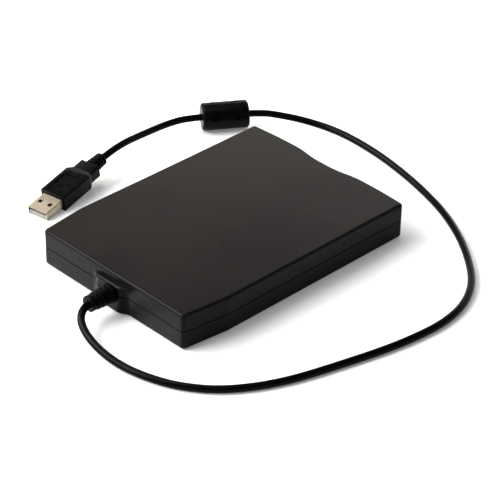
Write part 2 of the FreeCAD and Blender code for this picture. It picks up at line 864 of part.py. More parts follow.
def slot_door():
    """Flap in the slot, hung from a pin along its top edge."""
    half = slot_half_width - door_side_gap
    leaf = box((-half, half), around(door_y, door_thickness), (door_low, door_z))
    barrel = cross_bar(door_barrel_radius, door_y, door_z, (-half, half))
    notch = box(
        around(door_spring_x, door_spring_length + 2 * door_spring_side_gap),
        around(door_y, 4 * door_barrel_radius), (door_z - door_notch_depth, door_z + door_barrel_radius))
    reach = half + door_pin_length
    pin = cross_bar(door_pin_radius, door_y, door_z, (-reach, reach))
    return join([leaf.fuse(barrel).cut(notch), pin])


def door_spring():
    """Torsion spring round the door's pin."""
    start = Vector(door_spring_x - door_spring_length / 2 + door_spring_wire, door_y, door_z)
    length = door_spring_length - 2 * door_spring_wire
    return coil(door_spring_radius, door_spring_wire, door_spring_turns, start, Vector(1, 0, 0), length)


def light_guide():
    """Clear bar from the light to the bezel's face."""
    low = drive_z + light_low
    guide = box(around(light_x, light_width), (front_y, chassis_front - led_length), (low, low + light_height))
    return guide.common(case_block(bezel_set_back, (low - past, low + light_height + past)))


def activity_light():
    low = drive_z + light_low
    y = (chassis_front - led_length, chassis_front)
    return box(around(light_x, light_width), y, (low, low + light_height))


def eject_button():
    """Push button with a slot at its back for the slide's tongue."""
    front = front_y + bezel_set_back - button_proud
    z = (button_z, button_z + button_height)
    button = box(around(button_x, button_width), (front, front + button_depth), z)
    button = round_edges(button, button_edge_radius, lambda e: e.BoundBox.YMax < front + tolerance)
    tongue = box(
        around(button_x, tongue_width), (front + button_depth / 2, front + button_depth),
        (slide_low, slide_low + slide_sheet))
    return button.cut(tongue)


# ---------------------------------------------------------------------------------------------
# Chassis, cover and eject slide
# ---------------------------------------------------------------------------------------------
def chassis():
    """Pressed tray that carries the whole mechanism."""
    tray = box((-drive_half, drive_half), (chassis_front, chassis_rear), (drive_z, cover_low))
    room = box(
        (-inner_half, inner_half), (chassis_front - past, chassis_rear - chassis_sheet),
        (chassis_floor, cover_low + past))
    cuts = [room, post(bearing_radius, 0, hub_y, (drive_z - past, chassis_floor + past))]
    for y in (chassis_front + peg_inset_front, chassis_rear - peg_inset_rear):
        cuts += both_sides(post(peg_radius + fit_gap, peg_x, y, (drive_z - past, chassis_floor + past)))
    for y in cam_pin_ys:
        cuts += pin_slots(y, cam_pin_radius + cam_pin_gap)
    cuts.append(box(
        (ribbon_x[0] - connector_side, ribbon_x[1] + connector_side),
        (chassis_rear - 2 * chassis_sheet, chassis_rear + past),
        (main_board_top, main_board_top + ribbon_gate_height)))
    tray = tray.cut(cuts)
    tabs = both_sides(box(
        around(spring_x, 2 * spring_radius), (spring_tab_y - spring_tab_sheet, spring_tab_y),
        (chassis_floor - seam, chassis_floor + spring_tab_height)))
    standoffs = [
        post(standoff_radius, x, y, (chassis_floor - seam, main_board_low))
        for x in (main_board_x[0] + board_edge, main_board_x[1] - board_edge)
        for y in (main_board_y[0] + board_edge, main_board_y[1] - board_edge)
    ]
    back = chassis_rear - chassis_sheet
    ears = both_sides(box(
        (inner_half - ear_size, inner_half + seam), (back - ear_size, back + seam),
        (cover_low - ear_height, cover_low)))
    tray = join([tray] + tabs + standoffs + ears)
    hole_z = (cover_low - cover_screw_hole, cover_low + past)
    return tray.cut(cover_screw_posts(cover_screw_radius + thread_gap, hole_z))


def cover_screw_posts(radius, z):
    """Round posts or holes in the middles of the two corner ears."""
    return both_sides(post(radius, inner_half - ear_size / 2, chassis_rear - chassis_sheet - ear_size / 2, z))


def pin_slots(y, radius):
    """Upright slots in the chassis walls that let the holder's pins move up and down only."""
    x = (inner_half - past, drive_half + past)
    top, low = cam_pin_z, cam_pin_z - holder_drop
    ends = [cross_bar(radius, y, z, x) for z in (top, low)]
    return both_sides(join(ends + [box(x, around(y, 2 * radius), (low, top))]))


def top_cover():
    """Sheet shield over the mechanism."""
    sheet = box((-drive_half, drive_half), (chassis_front, chassis_rear), (cover_low, cover_low + cover_sheet))
    return sheet.cut(cover_screw_posts(cover_screw_radius + fit_gap, (cover_low - past, cover_low + past)))


def cover_screws():
    """Two small screws that hold the shield down at the rear."""
    seat = cover_low + cover_sheet
    heads = cover_screw_posts(cover_screw_head_radius, (seat, seat + cover_screw_head_height))
    shanks = cover_screw_posts(cover_screw_radius, (seat - cover_screw_length, seat))
    return [join([head, shank]) for head, shank in zip(heads, shanks)]


def cam_slot(y):
    """Slanted slot in the slide's arm: it drops the holder's pin as the slide comes forward."""
    radius = cam_pin_radius + cam_pin_gap
    x = (slide_half - past, slide_half + slide_sheet + past)
    start = Vector(x[0], y, cam_pin_z)
    end = Vector(x[0], y + eject_travel, cam_pin_z - holder_drop)
    along = (end - start).normalize()
    aside = Vector(1, 0, 0).cross(along) * radius
    corners = [start + aside, end + aside, end - aside, start - aside]
    face = Part.Face(Part.makePolygon(corners + [corners[0]]))
    reach = Vector(x[1] - x[0], 0, 0)
    return join([face.extrude(reach), bar(radius, start, start + reach), bar(radius, end, end + reach)])


def eject_slide():
    """Sheet slide: a cross bar under the slot, a tongue for the button and a cam arm on either side."""
    front = chassis_front + slide_bar_back
    x = (slide_half, slide_half + slide_sheet)
    low = slide_low
    arm_back = cam_pin_ys[1] + eject_travel + slide_arm_past_slot
    arm_top = cam_pin_z + cam_pin_radius + cam_pin_gap + slide_arm_over_pin
    arm = box(x, (front, arm_back), (low, arm_top))
    arm = arm.cut([cam_slot(y) for y in cam_pin_ys])
    tab = box(
        (spring_x + spring_radius + spring_wire + slide_tab_gap, x[0] + seam),
        (slide_tab_y, slide_tab_y + slide_tab_width), around(drive_z + spring_height, slide_tab_height))
    bar_sheet = box((-x[1], x[1]), (front, front + slide_bar_width), (low, low + slide_sheet))
    button_back = front_y + bezel_set_back - button_proud + button_depth
    tongue = box(
        around(button_x, tongue_width), (button_back - button_depth / 2, front + 0.1), (low, low + slide_sheet))
    return join([bar_sheet, tongue] + both_sides(arm) + both_sides(tab))


def slide_springs():
    """Two tension springs that pull the slide forward once the latch lets it go."""
    start = spring_tab_y + spring_wire + spring_end_gap
    end = slide_tab_y - spring_wire - spring_end_gap
    wound = coil(
        spring_radius, spring_wire, spring_turns, Vector(spring_x, start, drive_z + spring_height),
        Vector(0, 1, 0), end - start)
    return both_sides(wound)


# ---------------------------------------------------------------------------------------------
# Disk holder and latch lever
# ---------------------------------------------------------------------------------------------
def disk_holder():
    """Sheet channel that the disk slides into: roof, two walls and a lip under each edge of the disk."""
    outer = holder_half + holder_sheet
    y = (holder_front, holder_rear)
    roof_top = holder_roof + holder_sheet
    roof = box((-outer, outer), y, (holder_roof, roof_top))
    walls = both_sides(box((holder_half, outer), y, (holder_low, roof_top)))
    lips = both_sides(box((outer - holder_lip - holder_sheet, outer), y, (holder_low, disk_low)))
    stop_y = disk_front_y + stop_tab_gap
    stop = box(stop_tab_x, (stop_y, stop_y + holder_sheet), (disk_low + stop_tab_lift, holder_roof + seam))
    head_window = box(
        (-head_window_half, head_window_half), (hub_y + head_window_from_hub, holder_rear + past),
        (holder_roof - past, roof_top + past))
    hub_window = post(hub_window_radius, 0, hub_y, (holder_roof - past, roof_top + past))
    rivet = post(lever_rivet_radius, lever_x, lever_y(), (holder_roof - past, roof_top + past))
    return join([roof, stop] + walls + lips).cut([head_window, hub_window, rivet])


def holder_pins():
    """Four rivets that ride in the slide's cam slots and the chassis's upright slots."""
    x = (holder_half + holder_sheet, drive_half - cam_pin_end_gap)
    return [p for y in cam_pin_ys for p in both_sides(cross_bar(cam_pin_radius, y, cam_pin_z, x))]


def lever_y():
    return holder_rear - lever_from_back


def lever_levels():
    """Underside and top of the lever's sheet, under the holder's roof."""
    top = holder_roof - lever_under_roof
    return (top - lever_sheet, top)


def latch_lever():
    """Arm whose pin the disk pushes back; it opens the shutter and frees the slide."""
    low, top = lever_levels()
    turn = math.radians(lever_rest_angle)
    pivot = Vector(lever_x, lever_y(), low)
    tip = pivot + Vector(math.cos(turn), math.sin(turn), 0) * lever_length
    aside = Vector(-math.sin(turn), math.cos(turn), 0) * (lever_width / 2)
    corners = [pivot + aside, tip + aside, tip - aside, pivot - aside]
    face = Part.Face(Part.makePolygon(corners + [corners[0]]))
    arm = face.extrude(Vector(0, 0, top - low))
    ends = [post(lever_width / 2, p.x, p.y, (low, top)) for p in (pivot, tip)]
    pin = post(lever_pin_radius, tip.x, tip.y, (disk_low + lever_pin_above_lip, low + seam))
    hole = post(lever_rivet_radius + lever_rivet_gap, pivot.x, pivot.y, (low - past, top + past))
    return join([arm, pin] + ends).cut(hole)


def lever_rivet():
    """Shouldered rivet that the lever turns on."""
    low, top = lever_levels()
    roof_top = holder_roof + holder_sheet
    collar_z = (low - rivet_collar_gap - rivet_collar_height, low - rivet_collar_gap)
    shank = post(lever_rivet_radius, lever_x, lever_y(), (collar_z[0], roof_top))
    collar = post(lever_rivet_radius + rivet_collar_lap, lever_x, lever_y(), collar_z)
    head = post(lever_rivet_head, lever_x, lever_y(), (roof_top, roof_top + rivet_head_height))
    return join([shank, collar, head])


# ---------------------------------------------------------------------------------------------
# Spindle motor
# ---------------------------------------------------------------------------------------------
def motor_board():
    y = (hub_y - motor_board_front, hub_y + motor_board_rear)
    z = (chassis_floor, chassis_floor + board_sheet)
    board = box((-motor_board_half_width, motor_board_half_width), y, z)
    return board.cut(post(bearing_radius, 0, hub_y, (z[0] - past, z[1] + past)))


def motor_coils():
    """Ring of flat wound coils on the motor board."""
    low = chassis_floor + board_sheet
    coils = []
    for i in range(coil_count):
        turn = 2 * math.pi * i / coil_count
        x, y = coil_ring_radius * math.cos(turn), hub_y + coil_ring_radius * math.sin(turn)
        ring = post(coil_radius, x, y, (low, low + coil_height))
        coils.append(ring.cut(post(coil_hole_radius, x, y, (low - past, low + coil_height + past))))
    return coils


def spindle_bearing():
    """Sintered sleeve pressed into the chassis floor."""
    sleeve = post(bearing_radius, 0, hub_y, (drive_z, drive_z + bearing_height))
    bore_z = (drive_z + bearing_bottom, drive_z + bearing_height + past)
    return sleeve.cut(post(shaft_radius + bearing_gap, 0, hub_y, bore_z))


def spindle_shaft():
    top = rotor_low + rotor_sheet + hub_ring_height + shaft_proud
    shaft = post(shaft_radius, 0, hub_y, (drive_z + bearing_bottom + shaft_end_gap, top))
    return round_edges(shaft, shaft_edge, level_at(top))


def rotor():
    top = rotor_low + rotor_sheet
    disc = post(rotor_radius, 0, hub_y, (rotor_low, top))
    return disc.cut(post(shaft_radius, 0, hub_y, (rotor_low - past, top + past)))


def rotor_magnet():
    ring = post(magnet_radius, 0, hub_y, (rotor_low - magnet_height, rotor_low))
    return ring.cut(post(magnet_hole_radius, 0, hub_y, (rotor_low - magnet_height - past, rotor_low + past)))


def hub_ring():
    """Magnetic ring that pulls the disk's steel hub down."""
    low = rotor_low + rotor_sheet
    ring = post(hub_ring_radius, 0, hub_y, (low, low + hub_ring_height))
    return ring.cut(post(hub_ring_hole, 0, hub_y, (low - past, low + past)))


def drive_pin():
    """Pin that catches the slot in the disk's hub."""
    low = rotor_low + rotor_sheet
    pin = post(drive_pin_radius, drive_pin_at, hub_y, (low, low + drive_pin_height))
    return round_edges(pin, drive_pin_edge, level_at(low + drive_pin_height))


# ---------------------------------------------------------------------------------------------
# Head carriage, arm, guide rod and lead screw
# ---------------------------------------------------------------------------------------------
def carriage_levels():
    low = drive_z + carriage_low
    return (low, low + carriage_height)


def head_carriage():
    """Moulded carriage: a bed on the guide rod, a neck under the lower head and a post for the upper arm."""
    z = carriage_levels()
    shoulder = carriage_front + carriage_neck_length
    neck = box((-carriage_neck_half, carriage_neck_half), (carriage_front, shoulder + seam), z)
    bed = box((-carriage_half_width, carriage_half_width), (shoulder, carriage_back), z)
    post_y = (carriage_back - carriage_post_length, carriage_back)
    post_x = (-carriage_post_half, carriage_post_half)
    upright = box(post_x, post_y, (z[0], arm_pivot.z)).fuse(
        cross_bar(arm_boss_radius, arm_pivot.y, arm_pivot.z, post_x))
    sleeve_y = (carriage_back - sleeve_from_back - sleeve_length, carriage_back - sleeve_from_back)
    sleeve = box(
        around(rod_x, 2 * sleeve_half_width), sleeve_y, (drive_z + sleeve_low, drive_z + sleeve_top))
    web = box((rod_x, -carriage_half_width + seam), sleeve_y, z)
    nut_arm = box(
        (carriage_half_width - seam, screw_axis_x - nut_half), (nut_back - nut_length, nut_back),
        (z[0], screw_axis_z + nut_half))
    body = join([neck, bed, upright, sleeve, web, nut_arm] + sensor_flag())
    rod_bore = bar(rod_radius + rod_gap, rod_end(0) - Vector(0, past, 0), rod_end(1) + Vector(0, past, 0))
    reach = carriage_post_half + past
    pivot_bore = cross_bar(arm_pivot_radius + arm_pivot_gap, arm_pivot.y, arm_pivot.z, (-reach, reach))
    return body.cut([rod_bore, pivot_bore])


def sensor_flag():
    """Bar and fin that shade the track zero sensor."""
    y = (carriage_back - flag_y_from_back - flag_length, carriage_back - flag_y_from_back)
    top = drive_z + sleeve_top
    left = rod_x - sleeve_half_width - flag_reach
    bar_part = box((left, rod_x), y, (top - seam, top + flag_bar_sheet))
    fin = box((left, left + flag_bar_sheet), y, (drive_z + flag_low, top + flag_bar_sheet))
    return [bar_part, fin]


def rod_end(which):
    """Front (0) and rear (1) ends of the guide rod."""
    y = (hub_y + rod_front_from_hub, carriage_back + rod_behind_carriage)[which]
    return Vector(rod_x, y, drive_z + rod_height)


def guide_rod():
    return bar(rod_radius, rod_end(0), rod_end(1))


def rod_clamps():
    """Blocks that hold the guide rod at both ends."""
    blocks = []
    for y in ((rod_end(0).y, rod_end(0).y + clamp_length), (rod_end(1).y - clamp_length, rod_end(1).y)):
        block = box(around(rod_x, 2 * clamp_half_width), y, (chassis_floor, drive_z + clamp_top))
        blocks.append(block.cut(guide_rod()))
    return blocks


def lower_head():
    top = disk_low - lower_head_under_disk
    return box(around(0, head_width), around(head_y, head_length), (carriage_levels()[1], top))


def upper_head_arm():
    """Sheet arm over the disk, hinged on the carriage's post by its own pin."""
    z = (arm_low, arm_low + arm_sheet)
    ear_x = (carriage_post_half + arm_ear_gap, carriage_post_half + arm_ear_gap + arm_ear_sheet)
    back = arm_pivot.y + arm_behind_pivot
    ear_front = back - arm_ear_length
    beam = box((-arm_half_width, arm_half_width), (head_y - head_length / 2, back), z)
    yoke = box((-ear_x[1], ear_x[1]), (ear_front, back), z)
    ears = both_sides(box(ear_x, (ear_front, back), (arm_pivot.z - 2 * arm_pivot_radius, z[1])))
    pin = cross_bar(arm_pivot_radius, arm_pivot.y, arm_pivot.z, (-ear_x[1], ear_x[1]))
    return join([beam, yoke, pin] + ears)


def upper_head():
    return box(around(0, head_width), around(head_y, head_length), (arm_low - upper_head_drop, arm_low))


def head_springs():
    """Two torsion springs round the arm's pin that press the heads together."""
    start = carriage_post_half + head_spring_wire + head_spring_gap
    length = arm_ear_gap - 2 * (head_spring_wire + head_spring_gap)
    wound = coil(
        head_spring_radius, head_spring_wire, head_spring_turns,
        Vector(start, arm_pivot.y, arm_pivot.z), Vector(1, 0, 0), length)
    return both_sides(wound)


def screw_point(y):
    return Vector(screw_axis_x, y, screw_axis_z)


def lead_nut():
    """Follower on the lead screw, fixed to the carriage's arm."""
    y = (nut_back - nut_length, nut_back)
    block = box(around(screw_axis_x, 2 * nut_half), y, around(screw_axis_z, 2 * nut_half))
    return block.cut(bar(lead_radius + nut_gap, screw_point(y[0] - past), screw_point(y[1] + past)))


def lead_screw():
    """Coarse screw on the stepper's shaft, with a journal at its free end."""
    start, end = screw_front + bearing_ear_sheet + seam, bracket_y - seam
    journal = bar(journal_radius, screw_point(screw_front), screw_point(start))
    rod = bar(lead_radius, screw_point(start), screw_point(end))
    rod = rod.cut(screw_groove(start, end))
    shaft = bar(journal_radius, screw_point(end), screw_point(bracket_y + bracket_sheet + stepper_shaft_gap))
    return join([journal, rod, shaft])


def screw_groove(start, end):
    """Helical groove, a little longer than the threaded stretch."""
    depth = lead_radius - lead_root_radius
    length = end - start + 2 * lead_pitch
    helix = Part.makeLongHelix(lead_pitch, length, lead_radius)
    section = Part.Wire(Part.makeCircle(depth, Vector(lead_radius, 0, 0), Vector(0, 1, 0)))
    groove = Part.Wire(helix.Edges).makePipeShell([section], True, True)
    lay = FreeCAD.Rotation(Vector(0, 0, 1), Vector(0, 1, 0))
    return groove.transformGeometry(FreeCAD.Placement(screw_point(start - lead_pitch), lay).toMatrix())


def stepper_bracket():
    """Bent bracket: base strip, plate that carries the motor, and ear for the screw's free end."""
    plate_y = (bracket_y, bracket_y + bracket_sheet)
    base = box(
        around(screw_axis_x, 2 * bracket_base_half), (screw_front, plate_y[1]),
        (chassis_floor, chassis_floor + bracket_base_sheet))
    plate = box(around(screw_axis_x, 2 * bracket_half_width), plate_y, (chassis_floor, drive_z + bracket_top))
    ear = box(
        around(screw_axis_x, 2 * bracket_base_half), (screw_front, screw_front + bearing_ear_sheet),
        (chassis_floor, drive_z + bearing_ear_top))
    hole = bar(lead_radius, screw_point(bracket_y - past), screw_point(plate_y[1] + past))
    journal = bar(
        journal_radius + journal_gap, screw_point(screw_front - past), screw_point(screw_front + journal_hole))
    return join([base, plate, ear]).cut([hole, journal])


def stepper_motor():
    start = bracket_y + bracket_sheet
    body = bar(stepper_radius, screw_point(start), screw_point(start + stepper_length))
    end = start + stepper_length
    body = round_edges(body, stepper_edge, lambda e: e.BoundBox.YMin > end - tolerance)
    bore = bar(journal_radius + journal_gap, screw_point(start - past), screw_point(start + stepper_length / 2))
    return body.cut(bore)


# ---------------------------------------------------------------------------------------------
# Boards, sensors and switches
# ---------------------------------------------------------------------------------------------
def main_board():
    return box(main_board_x, main_board_y, (main_board_low, main_board_top))


def on_main_board(at, size, height):
    """Square chip on the drive's board, placed from the board's front left corner."""
    x = around(main_board_x[0] + at[0], size)
    y = around(main_board_y[0] + at[1], size)
    return box(x, y, (main_board_top, main_board_top + height))


def main_board_chips():
    return [
        on_main_board(controller_at, controller_size, controller_height),
        on_main_board(driver_at, driver_size, driver_height),
    ]


def track_zero_sensor():
    """Forked light gate that the carriage's fin enters at track 0."""
    middle = rod_x - sleeve_half_width - flag_reach + flag_bar_sheet / 2
    y = around(carriage_back - flag_y_from_back - flag_length / 2, sensor_length)
    body = box(around(middle, sensor_width), y, (main_board_top, main_board_top + sensor_height))
    slot = box(
        around(middle, sensor_slot), (y[0] - 1, y[1] + 1),
        (main_board_top + sensor_base, main_board_top + sensor_height + past))
    return body.cut(slot)


def switch_y():
    return chassis_front + switch_from_front


def switch_blocks():
    """Housings of the three small switches that feel the disk."""
    blocks = []
    for xs in ((write_protect_x, disk_in_x), (density_x,)):
        x = (min(xs) - switch_size[0] / 2, max(xs) + switch_size[0] / 2)
        block = box(x, around(switch_y(), switch_size[1]), (chassis_floor, drive_z + switch_height))
        for plunger_x in xs:
            bottom = drive_z + switch_height - plunger_depth - plunger_travel - plunger_end_gap
            block = block.cut(post(
                plunger_radius + plunger_gap, plunger_x, switch_y(), (bottom, drive_z + drive_height)))
        blocks.append(block)
    return blocks


def plunger(x):
    """Sprung pin of one switch."""
    pin = post(plunger_radius, x, switch_y(), (drive_z + switch_height - plunger_depth, plunger_tip_z))
    return round_edges(pin, plunger_radius / 2, level_at(plunger_tip_z))


def connector(mouth_y, board_top, facing):
    """Flat cable connector whose rear (1) or front (-1) face takes the ribbon."""
    x = (ribbon_x[0] - connector_side, ribbon_x[1] + connector_side)
    y = sorted((mouth_y - facing * connector_length, mouth_y))
    body = box(x, y, (board_top, board_top + connector_height))
    mouth = sorted((mouth_y - facing * ribbon_in_connector, mouth_y + facing * seam))
    return body.cut(box(ribbon_x, mouth, around(board_top + connector_height / 2, ribbon_sheet)))


def drive_connector():
    return connector(main_board_y[1], main_board_top, 1)


def bridge_connector():
    return connector(bridge_front + bridge_connector_inset, bridge_top, -1)


def ribbon_cable():
    """Flat cable from the drive's board to the bridge board."""
    start = (main_board_y[1], main_board_top + connector_height / 2)
    end = (bridge_front + bridge_connector_inset, bridge_top + connector_height / 2)
    half = ribbon_sheet / 2
    inside = ribbon_in_connector
    centre = [(start[0] - inside, start[1]), start, end, (end[0] + inside, end[1])]
    corners = [Vector(ribbon_x[0], y, z - half) for y, z in centre]
    corners += [Vector(ribbon_x[0], y, z + half) for y, z in reversed(centre)]
    face = Part.Face(Part.makePolygon(corners + [corners[0]]))
    return face.extrude(Vector(ribbon_x[1] - ribbon_x[0], 0, 0))


def bridge_board():
    board = box(bridge_x, (bridge_front, bridge_front + bridge_width), (bridge_low, bridge_top))
    y, z = bridge_front + bridge_width / 2, (bridge_low - past, bridge_top + past)
    return board.cut([post(bridge_pin_radius + fit_gap, x, y, z) for x in bridge_post_x])


def on_bridge(x, size):
    """Small block standing on the bridge board's middle line."""
    y = around(bridge_front + bridge_width / 2, size[1])
    return box(around(x, size[0]), y, (bridge_top, bridge_top + size[2]))


def bridge_controller():
    return on_bridge(bridge_chip_x, (bridge_chip, bridge_chip, bridge_chip_height))


def bridge_small_parts():
    """Crystal and capacitors."""
    return [on_bridge(crystal_x, crystal_size)] + [on_bridge(x, capacitor_size) for x in capacitor_x]


def wire_levels():
    """Heights of the four inner wires."""
    return [cord_z + (i - 1.5) * wire_pitch for i in range(4)]


def cable_header():
    """Wire connector; the wires go in from the middle of the case."""
    body = box(header_x, around(wire_y(), header_width), (bridge_top, bridge_top + header_height))
    x = (header_x[0] - past, header_x[0] + header_depth)
    return body.cut([cross_bar(wire_radius, wire_y(), z, x) for z in wire_levels()])


def cord_inner_y():
    return rear_y - cord_inside


def wire_y():
    """Line along which the wires run to the header."""
    return cord_inner_y() - wire_straight - wire_bend


def cable_wires():
    """Four wires from the cord's end, bent over to the header."""
    wires = []
    for z in wire_levels():
        start = Vector(cord_x, cord_inner_y(), z)
        turn_in = Vector(cord_x, wire_y() + wire_bend, z)
        turn_out = Vector(cord_x + wire_bend, wire_y(), z)
        share = wire_bend * (1 - math.sqrt(0.5))
        middle = Vector(cord_x + share, wire_y() + share, z)
        end = Vector(header_x[0] + header_depth, wire_y(), z)
        turn = Part.Arc(turn_in, middle, turn_out).toShape()
        path = Part.Wire([line(start, turn_in), turn, line(turn_out, end)])
        wires.append(tube(path, wire_radius, start, Vector(0, 1, 0)))
    return wires


# ---------------------------------------------------------------------------------------------
# Cord, strain relief and ferrite core
# ---------------------------------------------------------------------------------------------
def tube(path, radius, start, direction):
    """Round solid along a path of lines and arcs."""
    section = Part.Wire(Part.makeCircle(radius, start, direction))
    return path.makePipeShell([section], True, False)


def rounded_path(points):
    """Straight runs joined by tangent arcs, with the radius of each arc."""
    edges, radii, last = [], [], points[0]
    for before, corner, after in zip(points, points[1:], points[2:]):
        way_in, way_out = corner - before, after - corner
        reach = run_share * min(way_in.Length, way_out.Length)
        way_in.normalize()
        way_out.normalize()
        turn = way_in.getAngle(way_out)
        radius = reach / math.tan(turn / 2)
        enter, leave = corner - way_in * reach, corner + way_out * reach
        inward = (way_out - way_in).normalize()
        middle = corner + inward * (radius / math.cos(turn / 2) - radius)
        edges.append(line(last, enter))
        edges.append(Part.Arc(enter, middle, leave).toShape())
        radii.append(radius)
        last = leave
    edges.append(line(last, points[-1]))
    return Part.Wire(edges), radii


def core_point(along):
    """Point on the core's axis, measured from its middle towards the plug."""
    turn = math.radians(core_heading)
    x = core_centre[0] + along * math.cos(turn)
    return Vector(x, bulge_y + core_centre[1] + along * math.sin(turn), core_radius)


def plug_frame():
    """Placement of the plug: local Y from tip to cord, local Z up, tip edge on the table."""
    heading, pitch = math.radians(plug_heading), math.radians(plug_pitch)
    along = Vector(math.cos(heading) * math.cos(pitch), math.sin(heading) * math.cos(pitch), math.sin(pitch))
    across = along.cross(Vector(0, 0, 1)).normalize()
    up = across.cross(along)
    turned = FreeCAD.Rotation(across, along, up, "XYZ")
    tip = Vector(plug_tip[0], bulge_y + plug_tip[1], plug_height / 2 * math.cos(pitch))
    return FreeCAD.Placement(tip, turned)


def plug_point(along):
    return plug_frame().multVec(Vector(0, along, 0))


def boot_start():
    return plug_exposed + grip_length + waist_length + boot_slit


def boot_end():
    return boot_start() + boot_rings * boot_ring_pitch


def cord_points():
    """Corners of the cord's route, from inside the case to inside the plug's boot."""
    route = [cord_axis(cord_inner_y()), cord_axis(bulge_y + relief_straight)]
    route += [Vector(x, bulge_y + y, z) for x, y, z in cord_to_core]
    route += [core_point(side * (core_length / 2 + core_exit)) for side in (-1, 1)]
    route += [Vector(x, bulge_y + y, z) for x, y, z in cord_to_plug]
    route += [plug_point(boot_end() + plug_run_corner), plug_point(boot_end() - cord_in_boot)]
    return route


def cord():
    """The whole cord; also reports its length, volume and bend radii."""
    points = cord_points()
    path, radii = rounded_path(points)
    solid = tube(path, cord_radius, points[0], Vector(0, 1, 0))
    expected = math.pi * cord_radius ** 2 * path.Length
    print("cord: length %.1f mm, volume %.1f of %.1f mm3" % (path.Length, solid.Volume, expected))
    print("cord: bend radii " + " ".join("%.0f" % r for r in radii))
    return solid


def relief_path():
    """Centre line of the strain relief, the first bend of the cord."""
    points = cord_points()[:4]
    path, radii = rounded_path(points)
    return path


def along_path(path, distance):
    """Point and direction at a distance along a path of edges."""
    for edge in path.Edges:
        if distance <= edge.Length:
            at = edge.getParameterByLength(distance)
            return edge.valueAt(at), edge.tangentAt(at)
        distance -= edge.Length
    return edge.valueAt(edge.LastParameter), edge.tangentAt(edge.LastParameter)


def ring_on(path, distance, radius, length):
    """Short round ring on the path, centred at a distance along it."""
    middle, direction = along_path(path, distance)
    return bar(radius, middle - direction * (length / 2), middle + direction * (length / 2))


def strain_relief():
    """Ribbed rubber sleeve, clamped in the bulge by its flange, with the cord through it."""
    inner_face = bulge_y - relief_flange_in
    flange = bar(relief_flange_radius, cord_axis(inner_face), cord_axis(inner_face + relief_flange))
    neck = bar(relief_neck_radius, cord_axis(inner_face - relief_tail), cord_axis(bulge_y + relief_collar / 2))
    collar = bar(relief_collar_radius, cord_axis(bulge_y), cord_axis(bulge_y + relief_collar))
    collar_end = bulge_y + relief_collar - tolerance
    collar = round_edges(collar, relief_collar_edge, lambda e: e.BoundBox.YMin > collar_end)
    path = relief_path()
    to_face = bulge_y - cord_inner_y()
    rings = []
    for i in range(relief_ribs):
        share = i / (relief_ribs - 1)
        radius = relief_rib_radius[0] + (relief_rib_radius[1] - relief_rib_radius[0]) * share
        middle = to_face + relief_collar + relief_pitch * (i + 1) - relief_rib / 2
        rings.append(ring_on(path, middle, radius, relief_rib))
    end = to_face + relief_collar + relief_pitch * (relief_ribs + 1) - relief_rib + relief_end / 2
    rings.append(ring_on(path, end, relief_end_radius, relief_end))
    core_start = bulge_y - seam
    core_path = stretch(path, core_start - cord_inner_y(), end)
    core = tube(core_path, relief_core_radius, cord_axis(core_start), Vector(0, 1, 0))
    solid = join([neck, flange, collar, core] + rings)
    return solid.cut(tube(path, cord_radius, cord_axis(cord_inner_y()), Vector(0, 1, 0)))


def stretch(path, start, end):
    """The path's edges between two distances along it."""
    kept = []
    for edge in path.Edges:
        length = edge.Length
        if end > 0 and start < length:
            first = edge.getParameterByLength(max(start, 0))
            last = edge.getParameterByLength(min(end, length))
            kept.append(edge.Curve.toShape(first, last))
        start, end = start - length, end - length
    return Part.Wire(kept)


def core_cover():
    """Moulded cover round the ferrite, with locating dimples."""
    half = core_length / 2
    body = bar(core_radius, core_point(-half), core_point(half))
    body = body.makeChamfer(core_edge, [e for e in body.Edges if len(e.Vertexes) == 1])
    axis = (core_point(half) - core_point(0)).normalize()
    aside = axis.cross(Vector(0, 0, 1))
    dimples = []
    for along in (-half + core_dimple_from_end, half - core_dimple_from_end):
        for angle in core_dimple_angles:
            turn = math.radians(angle)
            out = aside * math.cos(turn) + Vector(0, 0, 1) * math.sin(turn)
            surface = core_point(along) + out * core_radius
            dimples.append(bar(core_dimple_radius, surface - out * core_dimple_depth, surface + out))
    bore = bar(cord_radius, core_point(-core_length), core_point(core_length))
    room = bar(core_radius - core_wall, core_point(-half + core_wall), core_point(half - core_wall))
    return body.cut(dimples + [room, bore])


def ferrite_core():
    half = core_length / 2 - core_wall
    body = bar(core_radius - core_wall, core_point(-half), core_point(half))
    return body.cut(bar(cord_radius, core_point(-core_length), core_point(core_length)))


# ---------------------------------------------------------------------------------------------
# USB plug, drawn from its tip at the origin along +Y, then placed
# ---------------------------------------------------------------------------------------------
def placed(shape):
    moved = shape.copy()
    moved.Placement = plug_frame().multiply(moved.Placement)
    return moved


def rounded_block(width, height, y, radius):
    """Block along Y with rounded long edges."""
    block = box(around(0, width), y, around(0, height))
    return round_edges(block, radius, lambda e: e.BoundBox.YLength > y[1] - y[0] - tolerance)


def plug_shell():
    """Folded metal shell with two latch windows on either face."""
    y = (0, plug_exposed + plug_inside)
    shell = rounded_block(plug_width, plug_height, y, plug_shell_edge)
    room = box(
        around(0, plug_width - 2 * plug_sheet), (-1, y[1] + 1), around(0, plug_height - 2 * plug_sheet))
    windows = [
        box(around(x, plug_window), around(plug_window_at, plug_window), around(0, plug_height + 1))
        for x in (-plug_window_spacing / 2, plug_window_spacing / 2)
    ]
    return placed(shell.cut([room] + windows))


def plug_tongue():
    """Insulator in the lower half of the shell, with a block that closes its rear."""
    low = -plug_height / 2 + plug_sheet
    width = plug_width - 2 * plug_sheet
    tongue = box(around(0, width), (tongue_set_back, plug_exposed + seam), (low, low + tongue_height))
    block = box(
        around(0, width), (plug_exposed, plug_exposed + plug_inside), (low, plug_height / 2 - plug_sheet))
    return placed(join([tongue, block]))


